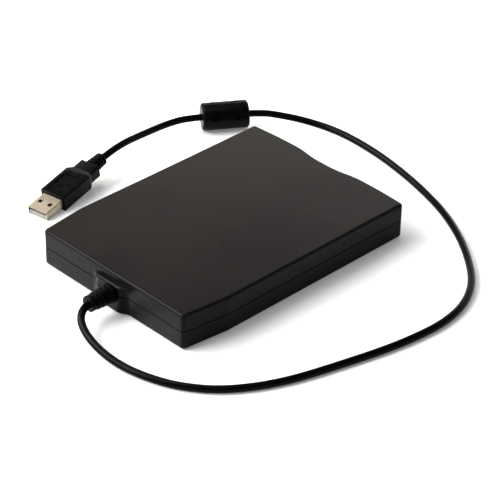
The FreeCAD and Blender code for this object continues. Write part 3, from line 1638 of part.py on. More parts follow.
def plug_contacts():
    """Four flat contacts on the tongue."""
    low = -plug_height / 2 + plug_sheet + tongue_height
    y = (contact_set_back, contact_set_back + contact_length)
    return [placed(box(around(x, contact_width), y, (low, low + contact_sheet))) for x in contact_x]


def plug_body():
    """Moulded grip with a narrower rear, a shallow panel on top and the shell's end inside."""
    start = plug_exposed
    rear = start + grip_length
    wide, narrow = grip_width / 2, waist_width / 2
    plan = [(-wide, start), (wide, start), (wide, rear - shoulder_length), (narrow, rear)]
    plan += [(-narrow, rear), (-wide, rear - shoulder_length)]
    corners = [Vector(x, y, -grip_height / 2) for x, y in plan]
    grip = Part.Face(Part.makePolygon(corners + [corners[0]])).extrude(Vector(0, 0, grip_height))
    top = grip_height / 2
    grip = round_edges(grip, grip_edge, lambda e: level_at(top)(e) or level_at(-top)(e))
    waist = rounded_block(waist_width, waist_height, (rear - past, rear + waist_length), waist_edge)
    panel_y = (start + panel_from_front, start + panel_from_front + panel_length)
    panel = box(around(0, panel_width), panel_y, (top - panel_depth, top + 1))
    panel = round_edges(panel, panel_corner_radius, lambda e: e.BoundBox.ZLength > panel_depth)
    dots = [
        post(dot_radius, x, panel_y[1] + dot_behind_panel, (top - panel_depth, top + past))
        for x in (-plug_window_spacing / 2, plug_window_spacing / 2)
    ]
    room = rounded_block(plug_width, plug_height, (start - past, start + plug_inside), plug_shell_edge)
    return placed(join([grip, waist, plug_boot()]).cut([room, panel, cord_bore()] + dots))


def plug_boot():
    """Flexible rear of the plug's moulding: rings on a tapered core."""
    start, length = boot_start(), boot_end() - boot_start()
    neck = bar(boot_core_radius[0], Vector(0, start - boot_slit - seam, 0), Vector(0, start, 0))
    core = Part.makeCone(boot_core_radius[0], boot_core_radius[1], length, Vector(0, start, 0), Vector(0, 1, 0))
    rings = []
    for i in range(boot_rings):
        share = i / (boot_rings - 1)
        radius = boot_ring_radius[0] + (boot_ring_radius[1] - boot_ring_radius[0]) * share
        from_y = start + i * boot_ring_pitch
        rings.append(bar(radius, Vector(0, from_y, 0), Vector(0, from_y + boot_ring, 0)))
    return join([neck, core] + rings)


def cord_bore():
    """Straight hole for the cord's end in the moulding."""
    return bar(cord_radius, Vector(0, boot_end() - cord_in_boot, 0), Vector(0, boot_end() + past, 0))


# ---------------------------------------------------------------------------------------------
# Nodes
# ---------------------------------------------------------------------------------------------
def main():
    os.makedirs("parts", exist_ok=True)
    save("upper_shell", upper_shell())
    save("lower_shell", lower_shell())
    save("rubber_feet", *foot_blocks(foot_radius))
    save("case_screws", *case_screws())
    save("front_bezel", front_bezel())
    save("slot_door", slot_door())
    save("door_spring", door_spring())
    save("light_guide", light_guide())
    save("activity_light", activity_light())
    save("eject_button", eject_button())
    save("chassis", chassis())
    save("top_cover", top_cover())
    save("cover_screws", *cover_screws())
    save("eject_slide", eject_slide())
    save("slide_springs", *slide_springs())
    save("disk_holder", disk_holder())
    save("holder_pins", *holder_pins())
    save("latch_lever", latch_lever())
    save("lever_rivet", lever_rivet())
    save("motor_board", motor_board())
    save("motor_coils", *motor_coils())
    save("spindle_bearing", spindle_bearing())
    save("spindle_shaft", spindle_shaft())
    save("spindle_rotor", rotor())
    save("rotor_magnet", rotor_magnet())
    save("hub_ring", hub_ring())
    save("drive_pin", drive_pin())
    save("head_carriage", head_carriage())
    save("lower_head", lower_head())
    save("upper_head_arm", upper_head_arm())
    save("upper_head", upper_head())
    save("head_springs", *head_springs())
    save("guide_rod", guide_rod())
    save("rod_clamps", *rod_clamps())
    save("lead_nut", lead_nut())
    save("lead_screw", lead_screw())
    save("stepper_bracket", stepper_bracket())
    save("stepper_motor", stepper_motor())
    save("main_board", main_board())
    save("main_board_chips", *main_board_chips())
    save("track_zero_sensor", track_zero_sensor())
    save("switch_blocks", *switch_blocks())
    save("disk_in_plunger", plunger(disk_in_x))
    save("write_protect_plunger", plunger(write_protect_x))
    save("density_plunger", plunger(density_x))
    save("ribbon_connectors", drive_connector(), bridge_connector())
    save("ribbon_cable", ribbon_cable())
    save("bridge_board", bridge_board())
    save("bridge_controller", bridge_controller())
    save("bridge_small_parts", *bridge_small_parts())
    save("cable_header", cable_header())
    save("cable_wires", *cable_wires())
    save("strain_relief", strain_relief())
    save("cord", cord())
    save("core_cover", core_cover())
    save("ferrite_core", ferrite_core())
    save("plug_shell", plug_shell())
    save("plug_tongue", plug_tongue())
    save("plug_contacts", *plug_contacts())
    save("plug_body", plug_body())


main()
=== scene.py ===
"""Looks of an external floppy disk drive: its finishes, its cord and its soft mouldings.

Sizes are written in millimetres, and MM turns them to metres. z = 0 is the table, the disk slot faces -Y and
the cord leaves the case towards +Y.
"""
import json
import math

import bmesh
import bpy
from mathutils import Matrix, Vector


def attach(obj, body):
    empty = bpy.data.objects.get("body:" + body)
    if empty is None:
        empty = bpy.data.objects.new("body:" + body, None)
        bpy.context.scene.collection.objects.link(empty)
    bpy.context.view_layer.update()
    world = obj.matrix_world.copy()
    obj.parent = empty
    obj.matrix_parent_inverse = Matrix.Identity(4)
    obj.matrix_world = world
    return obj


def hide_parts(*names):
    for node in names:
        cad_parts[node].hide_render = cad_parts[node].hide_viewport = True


MM = 0.001

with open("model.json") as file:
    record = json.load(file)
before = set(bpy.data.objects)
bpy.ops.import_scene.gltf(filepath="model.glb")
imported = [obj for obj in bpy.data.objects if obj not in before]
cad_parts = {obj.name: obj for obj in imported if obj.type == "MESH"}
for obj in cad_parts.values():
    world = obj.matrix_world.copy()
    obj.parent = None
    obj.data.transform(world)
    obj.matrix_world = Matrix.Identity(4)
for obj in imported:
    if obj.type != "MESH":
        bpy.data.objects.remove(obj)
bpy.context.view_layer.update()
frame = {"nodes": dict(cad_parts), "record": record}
nodes = frame["nodes"]

# ---------------------------------------------------------------------------------------------
# Sizes shared with the model, in millimetres
# ---------------------------------------------------------------------------------------------
CORD_RADIUS = 1.85
CORD_EXIT = (-2.5, 73.0, 10.0)

# The cord's route, from inside the case to inside the plug; it is straight as far as the end of the sleeve
CORD_ROUTE = [
    (-2.5, 66.5, 10.0), (-2.5, 81.4, 10.0), (-2.5, 89.0, 10.0), (-6.4, 95.2, 7.9), (-15.0, 98.9, 5.4),
    (-27.5, 100.6, 3.2), (-41.5, 99.9, 2.1), (-56.0, 96.4, 1.87), (-69.5, 90.4, 1.87), (-84.0, 78.5, 1.87),
    (-97.0, 56.5, 1.87), (-105.5, 27.5, 1.87), (-113.5, -4.5, 1.87), (-116.0, -36.5, 1.87),
    (-106.0, -62.5, 1.87), (-82.5, -84.0, 1.87), (-57.5, -99.5, 1.87), (-33.0, -109.0, 1.87),
    (-9.5, -115.5, 1.87), (14.0, -119.5, 2.1), (37.0, -119.2, 2.9), (54.0, -113.2, 4.2),
    (65.3, -105.3, 5.8), (73.33, -97.38, 7.35), (94.13, -65.70, 7.35), (96.8, -54.5, 7.7),
    (95.9, -36.0, 9.0), (92.88, -13.68, 11.42), (89.96, 2.88, 8.91),
]

# Ribbed sleeve where the cord leaves the case: distance from the bulge's face, and radius
SLEEVE_STEPS = [
    (-4.6, 3.3), (-3.0, 3.3), (-3.0, 4.15), (-1.5, 4.15), (-1.5, 3.35), (0.0, 3.35), (0.0, 4.9), (2.5, 4.9),
    (2.5, 3.3), (3.6, 3.3), (3.6, 4.7), (5.1, 4.7), (5.1, 3.3), (6.2, 3.3), (6.2, 4.5), (7.7, 4.5),
    (7.7, 3.3), (8.8, 3.3), (8.8, 4.3), (10.3, 4.3), (10.3, 3.3), (11.4, 3.3), (11.4, 4.0), (13.8, 4.0),
]

# Ferrite cover on the cord
CORE_CENTRE = (83.73, -81.54, 7.35)
CORE_HEADING = 56.7
CORE_LENGTH, CORE_RADIUS, CORE_CHAMFER = 24.9, 7.35, 0.9
DIMPLE_RADIUS, DIMPLE_DEPTH, DIMPLE_FROM_END = 1.2, 1.0, 6.5
DIMPLE_ANGLES = (77.0, 167.0, 257.0, 347.0)

# Cutter of a dimple: its tip's share of the radius, the mouth's reach in and out, and how far it flares
PIN_TAPER, PIN_MOUTH, PIN_FLARE = 0.8, 0.3, 0.5

# Plug: its tip, its axis from the tip to the cord, and its upper side
PLUG_TIP = (82.2, 46.9, 2.2253)
PLUG_AXIS = (0.171741, -0.97399, 0.147809)
PLUG_UP = (-0.025667, 0.145564, 0.989016)
PLUG_EXPOSED = 12.0
GRIP_WIDTH, GRIP_HEIGHT, GRIP_STRAIGHT, SHOULDER = 15.0, 8.2, 20.6, 2.4
WAIST_WIDTH, WAIST_HEIGHT, WAIST_LENGTH, WAIST_EDGE = 11.8, 6.8, 7.0, 1.3
PANEL_WIDTH, PANEL_LENGTH, PANEL_FROM_FRONT, PANEL_DEPTH, PANEL_CORNER = 10.0, 14.0, 2.2, 0.35, 1.0
DOT_RADIUS, DOT_DEPTH, DOT_SPACING, DOT_BEHIND_PANEL = 0.55, 0.6, 6.2, 1.8
TAIL_START, TAIL_PITCH, TAIL_RING, TAIL_GROOVE, TAIL_IN_GRIP = 42.4, 2.2, 1.5, 3.0, 1.5
TAIL_RADII = (3.9, 3.77, 3.63, 3.5)

# Rubber feet; the rim is flat, then it slopes into the hollow, which ends in a small flat disk
FOOT_PLACES = [(42.0, -59.0), (-42.0, -59.0), (42.0, 51.5), (-42.0, 51.5)]
FOOT_RADIUS, FOOT_HEIGHT, FOOT_HOLLOW = 4.0, 1.1, 0.12
FOOT_RIM, FOOT_RIM_AND_SLOPE, FOOT_CENTRE = 1.1, 1.5, 0.4

# Rounded edges: how wide each becomes
SLEEVE_EDGE, CORE_EDGE, TAIL_EDGE, FOOT_EDGE = 0.28, 0.35, 0.25, 0.25

# Picking faces and edges by their place: how near counts as there, and how far counts as away
NEAR, APART = 0.01, 0.1
MERGE_WITHIN = 0.0001          # points closer than this become one
SMOOTH_BELOW = 35.0            # degrees between two faces that still shade as one surface

# ---------------------------------------------------------------------------------------------
# Camera, floor and light; the camera's place is in millimetres, the floor and the lamps are in metres
# ---------------------------------------------------------------------------------------------
CAMERA_AT = (-617.9, 597.4, 567.1)
CAMERA_AZIMUTH, CAMERA_ELEVATION, CAMERA_ROLL = 225.07, 33.43, 1.19
IMAGE_PIXELS, FOCAL_PIXELS, SENSOR = 500, 2134.79, 36.0

# Ceiling: sine of the elevation where it starts and where it is full, and its brightness
CEILING_STARTS, CEILING_FULL, CEILING_LEVEL = 0.1, 0.5, 0.05
WORLD_LIGHT = 0.5              # the surroundings' brightness as light, against 1 as they are seen

FLOOR_SIDE, FLOOR_TONE, FLOOR_ROUGHNESS, FLOOR_GLOW = 6.0, 0.8, 0.08, 0.17
WHITE = (1.0, 1.0, 1.0)

# Lamps, all aimed at the drive: name, place and size in metres, watts and colour
LAMPS = [
    ("key", (1.1, 0.4, 1.9), (1.5, 1.5), 30.0, (1.0, 0.99, 0.975)),
    ("overhead", (0.2, 0.1, 2.0), (1.2, 1.2), 8.0, (1.0, 0.995, 0.985)),
    ("rear_wall_light", (0.95, 1.0, 1.08), (1.8, 1.0), 68.0, WHITE),
    ("front_fill", (0.15, -1.4, 0.55), (1.4, 0.7), 6.0, WHITE),
    ("far_sheen", (0.78, -0.78, 0.55), (1.2, 0.16), 3.5, (1.0, 0.94, 0.89)),
]


def make_camera():
    """Camera behind the drive's left corner, looking down on it."""
    turn, rise, roll = (math.radians(a) for a in (CAMERA_AZIMUTH, CAMERA_ELEVATION, CAMERA_ROLL))
    back = Vector((math.sin(turn) * math.cos(rise), -math.cos(turn) * math.cos(rise), math.sin(rise)))
    level = Vector((0, 0, 1)).cross(back).normalized()
    upright = back.cross(level)
    right = level * math.cos(roll) + upright * math.sin(roll)
    up = upright * math.cos(roll) - level * math.sin(roll)
    data = bpy.data.cameras.new("camera")
    data.sensor_width = SENSOR
    data.lens = SENSOR * FOCAL_PIXELS / IMAGE_PIXELS
    data.clip_end = 20.0
    camera = bpy.data.objects.new("camera", data)
    bpy.context.scene.collection.objects.link(camera)
    turned_to = Matrix((right, up, back)).transposed().to_4x4()
    camera.matrix_world = Matrix.Translation(Vector(CAMERA_AT) * MM) @ turned_to
    bpy.context.scene.camera = camera


def soft_box(name, at, size, watts, colour):
    """Area lamp, in metres, that looks at the drive."""
    data = bpy.data.lights.new(name, "AREA")
    data.shape = "RECTANGLE"
    data.size, data.size_y = size
    data.energy = watts
    data.color = colour
    lamp = bpy.data.objects.new(name, data)
    bpy.context.scene.collection.objects.link(lamp)
    lamp.location = at
    lamp.rotation_euler = (-Vector(at)).to_track_quat("-Z", "Y").to_euler()


def background_rays(tree):
    """1 for the rays that see the white background: camera, mirror and glass rays."""
    path = add(tree, "LightPath").outputs
    camera_or_mirror = {0: path["Is Camera Ray"], 1: path["Is Glossy Ray"]}
    seen = add(tree, "Math", camera_or_mirror, operation="MAXIMUM").outputs[0]
    return add(tree, "Math", {0: seen, 1: path["Is Transmission Ray"]}, operation="MAXIMUM").outputs[0]


def make_world():
    """Studio: white towards the horizon, with a dim ceiling."""
    world = bpy.data.worlds.new("studio")
    world.use_nodes = True
    bpy.context.scene.world = world
    tree = world.node_tree
    background = tree.nodes["Background"]
    direction = add(tree, "TexCoord").outputs["Generated"]
    height = add(tree, "SeparateXYZ", {0: direction}).outputs["Z"]
    ceiling = {
        "Value": height, "From Min": CEILING_STARTS, "From Max": CEILING_FULL,
        "To Min": 1.0, "To Max": CEILING_LEVEL}
    shade = add(tree, "MapRange", ceiling, interpolation_type="SMOOTHSTEP").outputs["Result"]
    seen_or_lit = {"Value": background_rays(tree), "To Min": WORLD_LIGHT, "To Max": 1.0}
    level = add(tree, "MapRange", seen_or_lit).outputs["Result"]
    strength = add(tree, "Math", {0: shade, 1: level}, operation="MULTIPLY").outputs[0]
    background.inputs["Color"].default_value = (*WHITE, 1.0)
    tree.links.new(strength, background.inputs["Strength"])


def make_floor():
    """Pale polished sheet under the drive; a slight glow keeps it white round the shadow."""
    bpy.ops.mesh.primitive_plane_add(size=FLOOR_SIDE, location=(0, 0, 0))
    floor = bpy.context.object
    floor.name = "floor"
    material = bpy.data.materials.new("pale_acrylic_floor")
    material.use_nodes = True
    tree = material.node_tree
    shader = tree.nodes["Principled BSDF"]
    shader.inputs["Base Color"].default_value = (FLOOR_TONE, FLOOR_TONE, FLOOR_TONE, 1.0)
    shader.inputs["Roughness"].default_value = FLOOR_ROUGHNESS
    shader.inputs["Emission Color"].default_value = (*WHITE, 1.0)
    glow = add(tree, "Math", {0: background_rays(tree), 1: FLOOR_GLOW}, operation="MULTIPLY").outputs[0]
    tree.links.new(glow, shader.inputs["Emission Strength"])
    floor.data.materials.append(material)


# ---------------------------------------------------------------------------------------------
# Node helpers
# ---------------------------------------------------------------------------------------------
PATTERN_LOW, PATTERN_HIGH = 0.25, 0.75      # a clouded pattern has nearly all of its variation between these
GLOSS_SPREAD = 0.015                        # how far the roughness of moulded ABS strays either way
ONE_BAND = math.pi / 10                     # scale of a wave pattern that repeats once per millimetre


def linear(colour):
    """Linear RGBA of an sRGB hex colour."""
    channels = [int(colour[i:i + 2], 16) / 255 for i in (1, 3, 5)]
    return tuple(c / 12.92 if c <= 0.04045 else ((c + 0.055) / 1.055) ** 2.4 for c in channels) + (1.0,)


def add(tree, kind, inputs=(), **settings):
    """Adds a shader node; inputs holds values and linked sockets by socket name or number."""
    node = tree.nodes.new("ShaderNode" + kind)
    for name, value in settings.items():
        setattr(node, name, value)
    for name, value in dict(inputs).items():
        if isinstance(value, bpy.types.NodeSocket):
            tree.links.new(value, node.inputs[name])
        else:
            node.inputs[name].default_value = value
    return node


def start_finish(name, **sockets):
    """New material: its node tree, and its place on the piece in millimetres."""
    material = bpy.data.materials.new(name)
    material.use_nodes = True
    tree = material.node_tree
    for socket, value in sockets.items():
        tree.nodes["Principled BSDF"].inputs[socket.replace("_", " ")].default_value = value
    position = add(tree, "TexCoord").outputs["Object"]
    place = add(tree, "Mapping", {"Vector": position, "Scale": (1 / MM, 1 / MM, 1 / MM)}).outputs["Vector"]
    return material, tree, place


def drive_surface(tree, tint, gloss, *reliefs):
    """Patterns drive the shader: colour between two tones, roughness between two values, relief in mm."""
    shader = tree.nodes["Principled BSDF"]
    pattern, dark, light = tint
    span = {"Value": pattern, "From Min": PATTERN_LOW, "From Max": PATTERN_HIGH}
    share = add(tree, "MapRange", span, interpolation_type="SMOOTHSTEP").outputs["Result"]
    tone = add(tree, "Mix", {0: share, 6: linear(dark), 7: linear(light)}, data_type="RGBA").outputs[2]
    tree.links.new(tone, shader.inputs["Base Color"])
    pattern, low, high = gloss
    span = {
        "Value": pattern, "From Min": PATTERN_LOW, "From Max": PATTERN_HIGH, "To Min": low, "To Max": high}
    dulled = add(tree, "MapRange", span, interpolation_type="SMOOTHSTEP").outputs["Result"]
    tree.links.new(dulled, shader.inputs["Roughness"])
    normal = None
    for pattern, height in reliefs:
        bump = add(tree, "Bump", {"Height": pattern, "Distance": height * MM})
        if normal:
            tree.links.new(normal, bump.inputs["Normal"])
        normal = bump.outputs["Normal"]
    tree.links.new(normal, shader.inputs["Normal"])


# ---------------------------------------------------------------------------------------------
# Finishes, each named for its material and how its surface was made
# A pattern's scale is 1 over its size in millimetres
# ---------------------------------------------------------------------------------------------
def grained_abs(name, dark, light, roughness, grain, height):
    """ABS from a spark-eroded mould: an even fine grain that breaks its reflections into a satin sheen.

    The real grain is about 0.1 mm, too fine to show, so it is drawn three to four times as coarse.
    """
    material, tree, place = start_finish(name, IOR=1.54, Specular_IOR_Level=0.05)
    clouds = add(tree, "TexNoise", {"Vector": place, "Scale": 1 / 30.0, "Detail": 0.0}).outputs["Fac"]
    rubbed = add(tree, "TexNoise", {"Vector": place, "Scale": 1 / 40.0, "Detail": 0.0}).outputs["Fac"]
    eroded = add(tree, "TexNoise", {"Vector": place, "Scale": 1 / grain, "Detail": 2.0}).outputs["Fac"]
    tint = (clouds, dark, light)
    gloss = (rubbed, roughness - GLOSS_SPREAD, roughness + GLOSS_SPREAD)
    drive_surface(tree, tint, gloss, (eroded, height))
    return material


def moulded_rubber():
    """Moulded rubber: dead matt, with a dusty bloom on the high spots."""
    material, tree, place = start_finish("moulded_rubber", IOR=1.52)
    bloom = add(tree, "TexNoise", {"Vector": place, "Scale": 1 / 1.5, "Detail": 5.0}).outputs["Fac"]
    pores = add(tree, "TexVoronoi", {"Vector": place, "Scale": 1 / 0.4}).outputs["Distance"]
    drive_surface(tree, (bloom, "#141414", "#262524"), (bloom, 0.75, 0.9), (pores, 0.02))
    return material


def extruded_pvc():
    """Extruded PVC jacket: smooth black skin with a long highlight that the die's faint marks break up."""
    material, tree, place = start_finish("extruded_pvc_jacket", IOR=1.5, Specular_IOR_Level=0.045)
    clouds = add(tree, "TexNoise", {"Vector": place, "Scale": 1 / 7.0, "Detail": 4.0}).outputs["Fac"]
    skin = add(tree, "TexNoise", {"Vector": place, "Scale": 1 / 1.1, "Detail": 3.0}).outputs["Fac"]
    drive_surface(tree, (clouds, "#020202", "#060606"), (skin, 0.16, 0.26), (skin, 0.01))
    return material


def overmoulded_pvc():
    """Soft PVC moulded round the cord: black and half matt, with a fine grain drawn at 0.35 mm to show."""
    material, tree, place = start_finish("overmoulded_pvc", IOR=1.5, Specular_IOR_Level=0.045)
    clouds = add(tree, "TexNoise", {"Vector": place, "Scale": 1 / 4.0, "Detail": 4.0}).outputs["Fac"]
    eroded = add(tree, "TexNoise", {"Vector": place, "Scale": 1 / 0.35, "Detail": 2.0}).outputs["Fac"]
    drive_surface(tree, (clouds, "#030304", "#08080a"), (clouds, 0.26, 0.34), (eroded, 0.006))
    return material


def nickel_plated_steel():
    """Nickel over folded steel: warm silver with rolling marks along the plug.

    The real marks are about 0.2 mm apart, too fine to show, so they are drawn at 0.45 mm.
    """
    material, tree, place = start_finish("nickel_plated_steel", Metallic=1.0)
    along_plug = (0.0, 0.0, math.radians(80))
    turned = add(tree, "Mapping", {"Vector": place, "Rotation": along_plug}).outputs["Vector"]
    drawn_out = add(tree, "Mapping", {"Vector": turned, "Scale": (0.06, 1.0, 1.0)}).outputs["Vector"]
    rolled = add(tree, "TexNoise", {"Vector": drawn_out, "Scale": 1 / 0.45, "Detail": 3.0}).outputs["Fac"]
    smears = add(tree, "TexNoise", {"Vector": place, "Scale": 1 / 2.5, "Detail": 4.0}).outputs["Fac"]
    drive_surface(tree, (rolled, "#a0957f", "#bdb2a0"), (smears, 0.38, 0.45), (rolled, 0.003))
    return material


def zinc_plated_sheet():
    """Zinc-plated pressed sheet: blue-grey metal with pale spangles and rolling lines."""
    material, tree, place = start_finish("zinc_plated_sheet", Metallic=1.0)
    spangles = add(tree, "TexVoronoi", {"Vector": place, "Scale": 1 / 1.8}).outputs["Distance"]
    drawn_out = add(tree, "Mapping", {"Vector": place, "Scale": (1.0, 0.05, 1.0)}).outputs["Vector"]
    rolled = add(tree, "TexNoise", {"Vector": drawn_out, "Scale": 1 / 0.8, "Detail": 3.0}).outputs["Fac"]
    drive_surface(tree, (spangles, "#9fa4a7", "#bfc3c5"), (rolled, 0.28, 0.42), (rolled, 0.006))
    return material


def drawn_spring_steel():
    """Hard-drawn spring wire: bright grey, with fine draw marks."""
    material, tree, place = start_finish("drawn_spring_steel", Metallic=1.0)
    marks = add(tree, "TexNoise", {"Vector": place, "Scale": 1 / 0.3, "Detail": 4.0}).outputs["Fac"]
    drive_surface(tree, (marks, "#85868a", "#aeb0b2"), (marks, 0.22, 0.34), (marks, 0.003))
    return material


def turned_steel():
    """Turned and polished steel: bright, with rings that the tool left, drawn 0.3 mm apart to show."""
    material, tree, place = start_finish("turned_steel", Metallic=1.0)
    rings = add(tree, "TexWave", {"Vector": place, "Scale": ONE_BAND / 0.3}).outputs["Fac"]
    clouds = add(tree, "TexNoise", {"Vector": place, "Scale": 1 / 1.5, "Detail": 3.0}).outputs["Fac"]
    drive_surface(tree, (clouds, "#a3a4a5", "#c3c4c5"), (clouds, 0.16, 0.28), (rings, 0.003))
    return material


def black_oxide_steel():
    """Black-oxide screws: oily blue-black steel, greyer where the oxide has worn."""
    material, tree, place = start_finish("black_oxide_steel", Metallic=1.0)
    worn = add(tree, "TexNoise", {"Vector": place, "Scale": 1 / 0.8, "Detail": 5.0}).outputs["Fac"]
    drive_surface(tree, (worn, "#2a2b2e", "#4b4c4f"), (worn, 0.34, 0.5), (worn, 0.006))
    return material


def clear_polycarbonate():
    """Moulded clear polycarbonate: water-clear, with a lightly frosted face."""
    material, tree, place = start_finish("clear_polycarbonate", IOR=1.585, Transmission_Weight=0.9)
    frost = add(tree, "TexNoise", {"Vector": place, "Scale": 1 / 0.4, "Detail": 4.0}).outputs["Fac"]
    drive_surface(tree, (frost, "#d9e2dc", "#eef3ef"), (frost, 0.14, 0.26), (frost, 0.004))
    return material


def tinted_epoxy():
    """Cast green epoxy of the light: half clear, cloudy inside."""
    material, tree, place = start_finish("tinted_epoxy_lens", IOR=1.55, Transmission_Weight=0.4)
    clouds = add(tree, "TexNoise", {"Vector": place, "Scale": 1 / 0.9, "Detail": 3.0}).outputs["Fac"]
    drive_surface(tree, (clouds, "#4f9a54", "#7cc47a"), (clouds, 0.12, 0.2), (clouds, 0.004))
    return material


def solder_mask_laminate():
    """Circuit board: dark green solder mask, paler and slightly raised over copper tracks 0.8 mm apart."""
    material, tree, place = start_finish(
        "solder_mask_laminate", IOR=1.5, Coat_Weight=0.4, Coat_Roughness=0.15)
    wave = {"Vector": place, "Scale": ONE_BAND / 0.8, "Distortion": 1.5}
    tracks = add(tree, "TexWave", wave, bands_direction="DIAGONAL").outputs["Fac"]
    clouds = add(tree, "TexNoise", {"Vector": place, "Scale": 1 / 3.0, "Detail": 3.0}).outputs["Fac"]
    drive_surface(tree, (tracks, "#123d22", "#1f5c33"), (clouds, 0.3, 0.4), (tracks, 0.02))
    return material


def moulded_epoxy():
    """Moulded epoxy of the chips: charcoal, with a gritty matt face."""
    material, tree, place = start_finish("moulded_epoxy", IOR=1.5)
    grit = add(tree, "TexNoise", {"Vector": place, "Scale": 1 / 0.25, "Detail": 3.0}).outputs["Fac"]
    drive_surface(tree, (grit, "#17181a", "#232427"), (grit, 0.5, 0.65), (grit, 0.01))
    return material


def enamelled_copper():
    """Coils of enamelled copper wire: reddish metal under clear lacquer, in turns 0.25 mm apart."""
    material, tree, place = start_finish(
        "enamelled_copper_winding", Metallic=1.0, Coat_Weight=0.5, Coat_Roughness=0.1)
    wave = {"Vector": place, "Scale": ONE_BAND / 0.25}
    turns = add(tree, "TexWave", wave, bands_direction="Z").outputs["Fac"]
    clouds = add(tree, "TexNoise", {"Vector": place, "Scale": 1 / 1.0, "Detail": 3.0}).outputs["Fac"]
    drive_surface(tree, (turns, "#7a3a18", "#c4733c"), (clouds, 0.25, 0.35), (turns, 0.03))
    return material


def sintered_bronze():
    """Sintered bronze: brown gold, pitted with the pores that hold its oil."""
    material, tree, place = start_finish("sintered_bronze", Metallic=1.0)
    pores = add(tree, "TexVoronoi", {"Vector": place, "Scale": 1 / 0.25}).outputs["Distance"]
    drive_surface(tree, (pores, "#6a522d", "#a5834c"), (pores, 0.4, 0.55), (pores, 0.015))
    return material


def fired_ferrite():
    """Fired ferrite: brittle dark grey ceramic with tiny bright grains."""
    material, tree, place = start_finish("fired_ferrite", IOR=2.0)
    grains = add(tree, "TexVoronoi", {"Vector": place, "Scale": 1 / 0.35}).outputs["Distance"]
    drive_surface(tree, (grains, "#36363b", "#202023"), (grains, 0.5, 0.65), (grains, 0.01))
    return material


def bonded_magnet():
    """Bonded magnet powder: brown-black and mottled."""
    material, tree, place = start_finish("bonded_magnet", IOR=1.6)
    powder = add(tree, "TexNoise", {"Vector": place, "Scale": 1 / 0.3, "Detail": 5.0}).outputs["Fac"]
    drive_surface(tree, (powder, "#231f1d", "#3a3431"), (powder, 0.6, 0.75), (powder, 0.01))
    return material


def glass_filled_nylon():
    """Glass-filled nylon: charcoal, with pale flow streaks of fibre along the part."""
    material, tree, place = start_finish("glass_filled_nylon", IOR=1.53)
    drawn_out = add(tree, "Mapping", {"Vector": place, "Scale": (1.0, 0.15, 1.0)}).outputs["Vector"]
    streaks = add(tree, "TexNoise", {"Vector": drawn_out, "Scale": 1 / 0.5, "Detail": 4.0}).outputs["Fac"]
    drive_surface(tree, (streaks, "#1d1e20", "#2d2e31"), (streaks, 0.45, 0.6), (streaks, 0.01))
    return material


def natural_acetal():
    """Natural acetal: creamy white and waxy, with light getting into its edges."""
    material, tree, place = start_finish(
        "natural_acetal", IOR=1.48, Subsurface_Weight=0.15, Subsurface_Scale=MM)
    clouds = add(tree, "TexNoise", {"Vector": place, "Scale": 1 / 1.5, "Detail": 3.0}).outputs["Fac"]
    drive_surface(tree, (clouds, "#d6cfbb", "#e6e0cf"), (clouds, 0.3, 0.4), (clouds, 0.005))
    return material


def lapped_ceramic():
    """Lapped head ceramic: dark glassy grey with hairline scratches."""
    material, tree, place = start_finish("lapped_ceramic", IOR=2.1)
    drawn_out = add(tree, "Mapping", {"Vector": place, "Scale": (0.1, 1.0, 1.0)}).outputs["Vector"]
    scratches = add(tree, "TexNoise", {"Vector": drawn_out, "Scale": 1 / 0.3, "Detail": 4.0}).outputs["Fac"]
    drive_surface(tree, (scratches, "#4a4744", "#5f5c58"), (scratches, 0.08, 0.18), (scratches, 0.001))
    return material


def moulded_pbt():
    """Glossy moulded PBT of the switches and the sensor: blue-black, with slight sink marks."""
    material, tree, place = start_finish("moulded_pbt", IOR=1.57)
    clouds = add(tree, "TexNoise", {"Vector": place, "Scale": 1 / 1.5, "Detail": 3.0}).outputs["Fac"]
    sinks = add(tree, "TexNoise", {"Vector": place, "Scale": 1 / 3.0, "Detail": 0.0}).outputs["Fac"]
    drive_surface(tree, (clouds, "#1c1d22", "#282a30"), (clouds, 0.25, 0.38), (sinks, 0.03))
    return material


def natural_nylon():
    """Natural nylon connectors: yellowish white and half glossy."""
    material, tree, place = start_finish(
        "natural_nylon", IOR=1.53, Subsurface_Weight=0.1, Subsurface_Scale=MM)
    clouds = add(tree, "TexNoise", {"Vector": place, "Scale": 1 / 1.2, "Detail": 3.0}).outputs["Fac"]
    drive_surface(tree, (clouds, "#cfc6ae", "#ded6c2"), (clouds, 0.35, 0.48), (clouds, 0.006))
    return material


def polyester_film_cable():
    """Flat film cable: tinned strips every 1 mm, raised under a milky glossy film."""
    material, tree, place = start_finish("polyester_film_cable", IOR=1.6, Coat_Weight=0.6, Coat_Roughness=0.2)
    strips = add(tree, "TexWave", {"Vector": place, "Scale": ONE_BAND / 1.0}).outputs["Fac"]
    clouds = add(tree, "TexNoise", {"Vector": place, "Scale": 1 / 2.0, "Detail": 3.0}).outputs["Fac"]
    drive_surface(tree, (strips, "#9c9b96", "#d8d3c3"), (clouds, 0.25, 0.35), (strips, 0.03))
    return material


def tinned_can():
    """Drawn tinned can: soft grey mirror with smears from the die."""
    material, tree, place = start_finish("tinned_steel_can", Metallic=1.0)
    drawn_out = add(tree, "Mapping", {"Vector": place, "Scale": (1.0, 0.2, 1.0)}).outputs["Vector"]
    smears = add(tree, "TexNoise", {"Vector": drawn_out, "Scale": 1 / 1.0, "Detail": 4.0}).outputs["Fac"]
    drive_surface(tree, (smears, "#b4b4b0", "#cdcdc9"), (smears, 0.2, 0.34), (smears, 0.01))
    return material


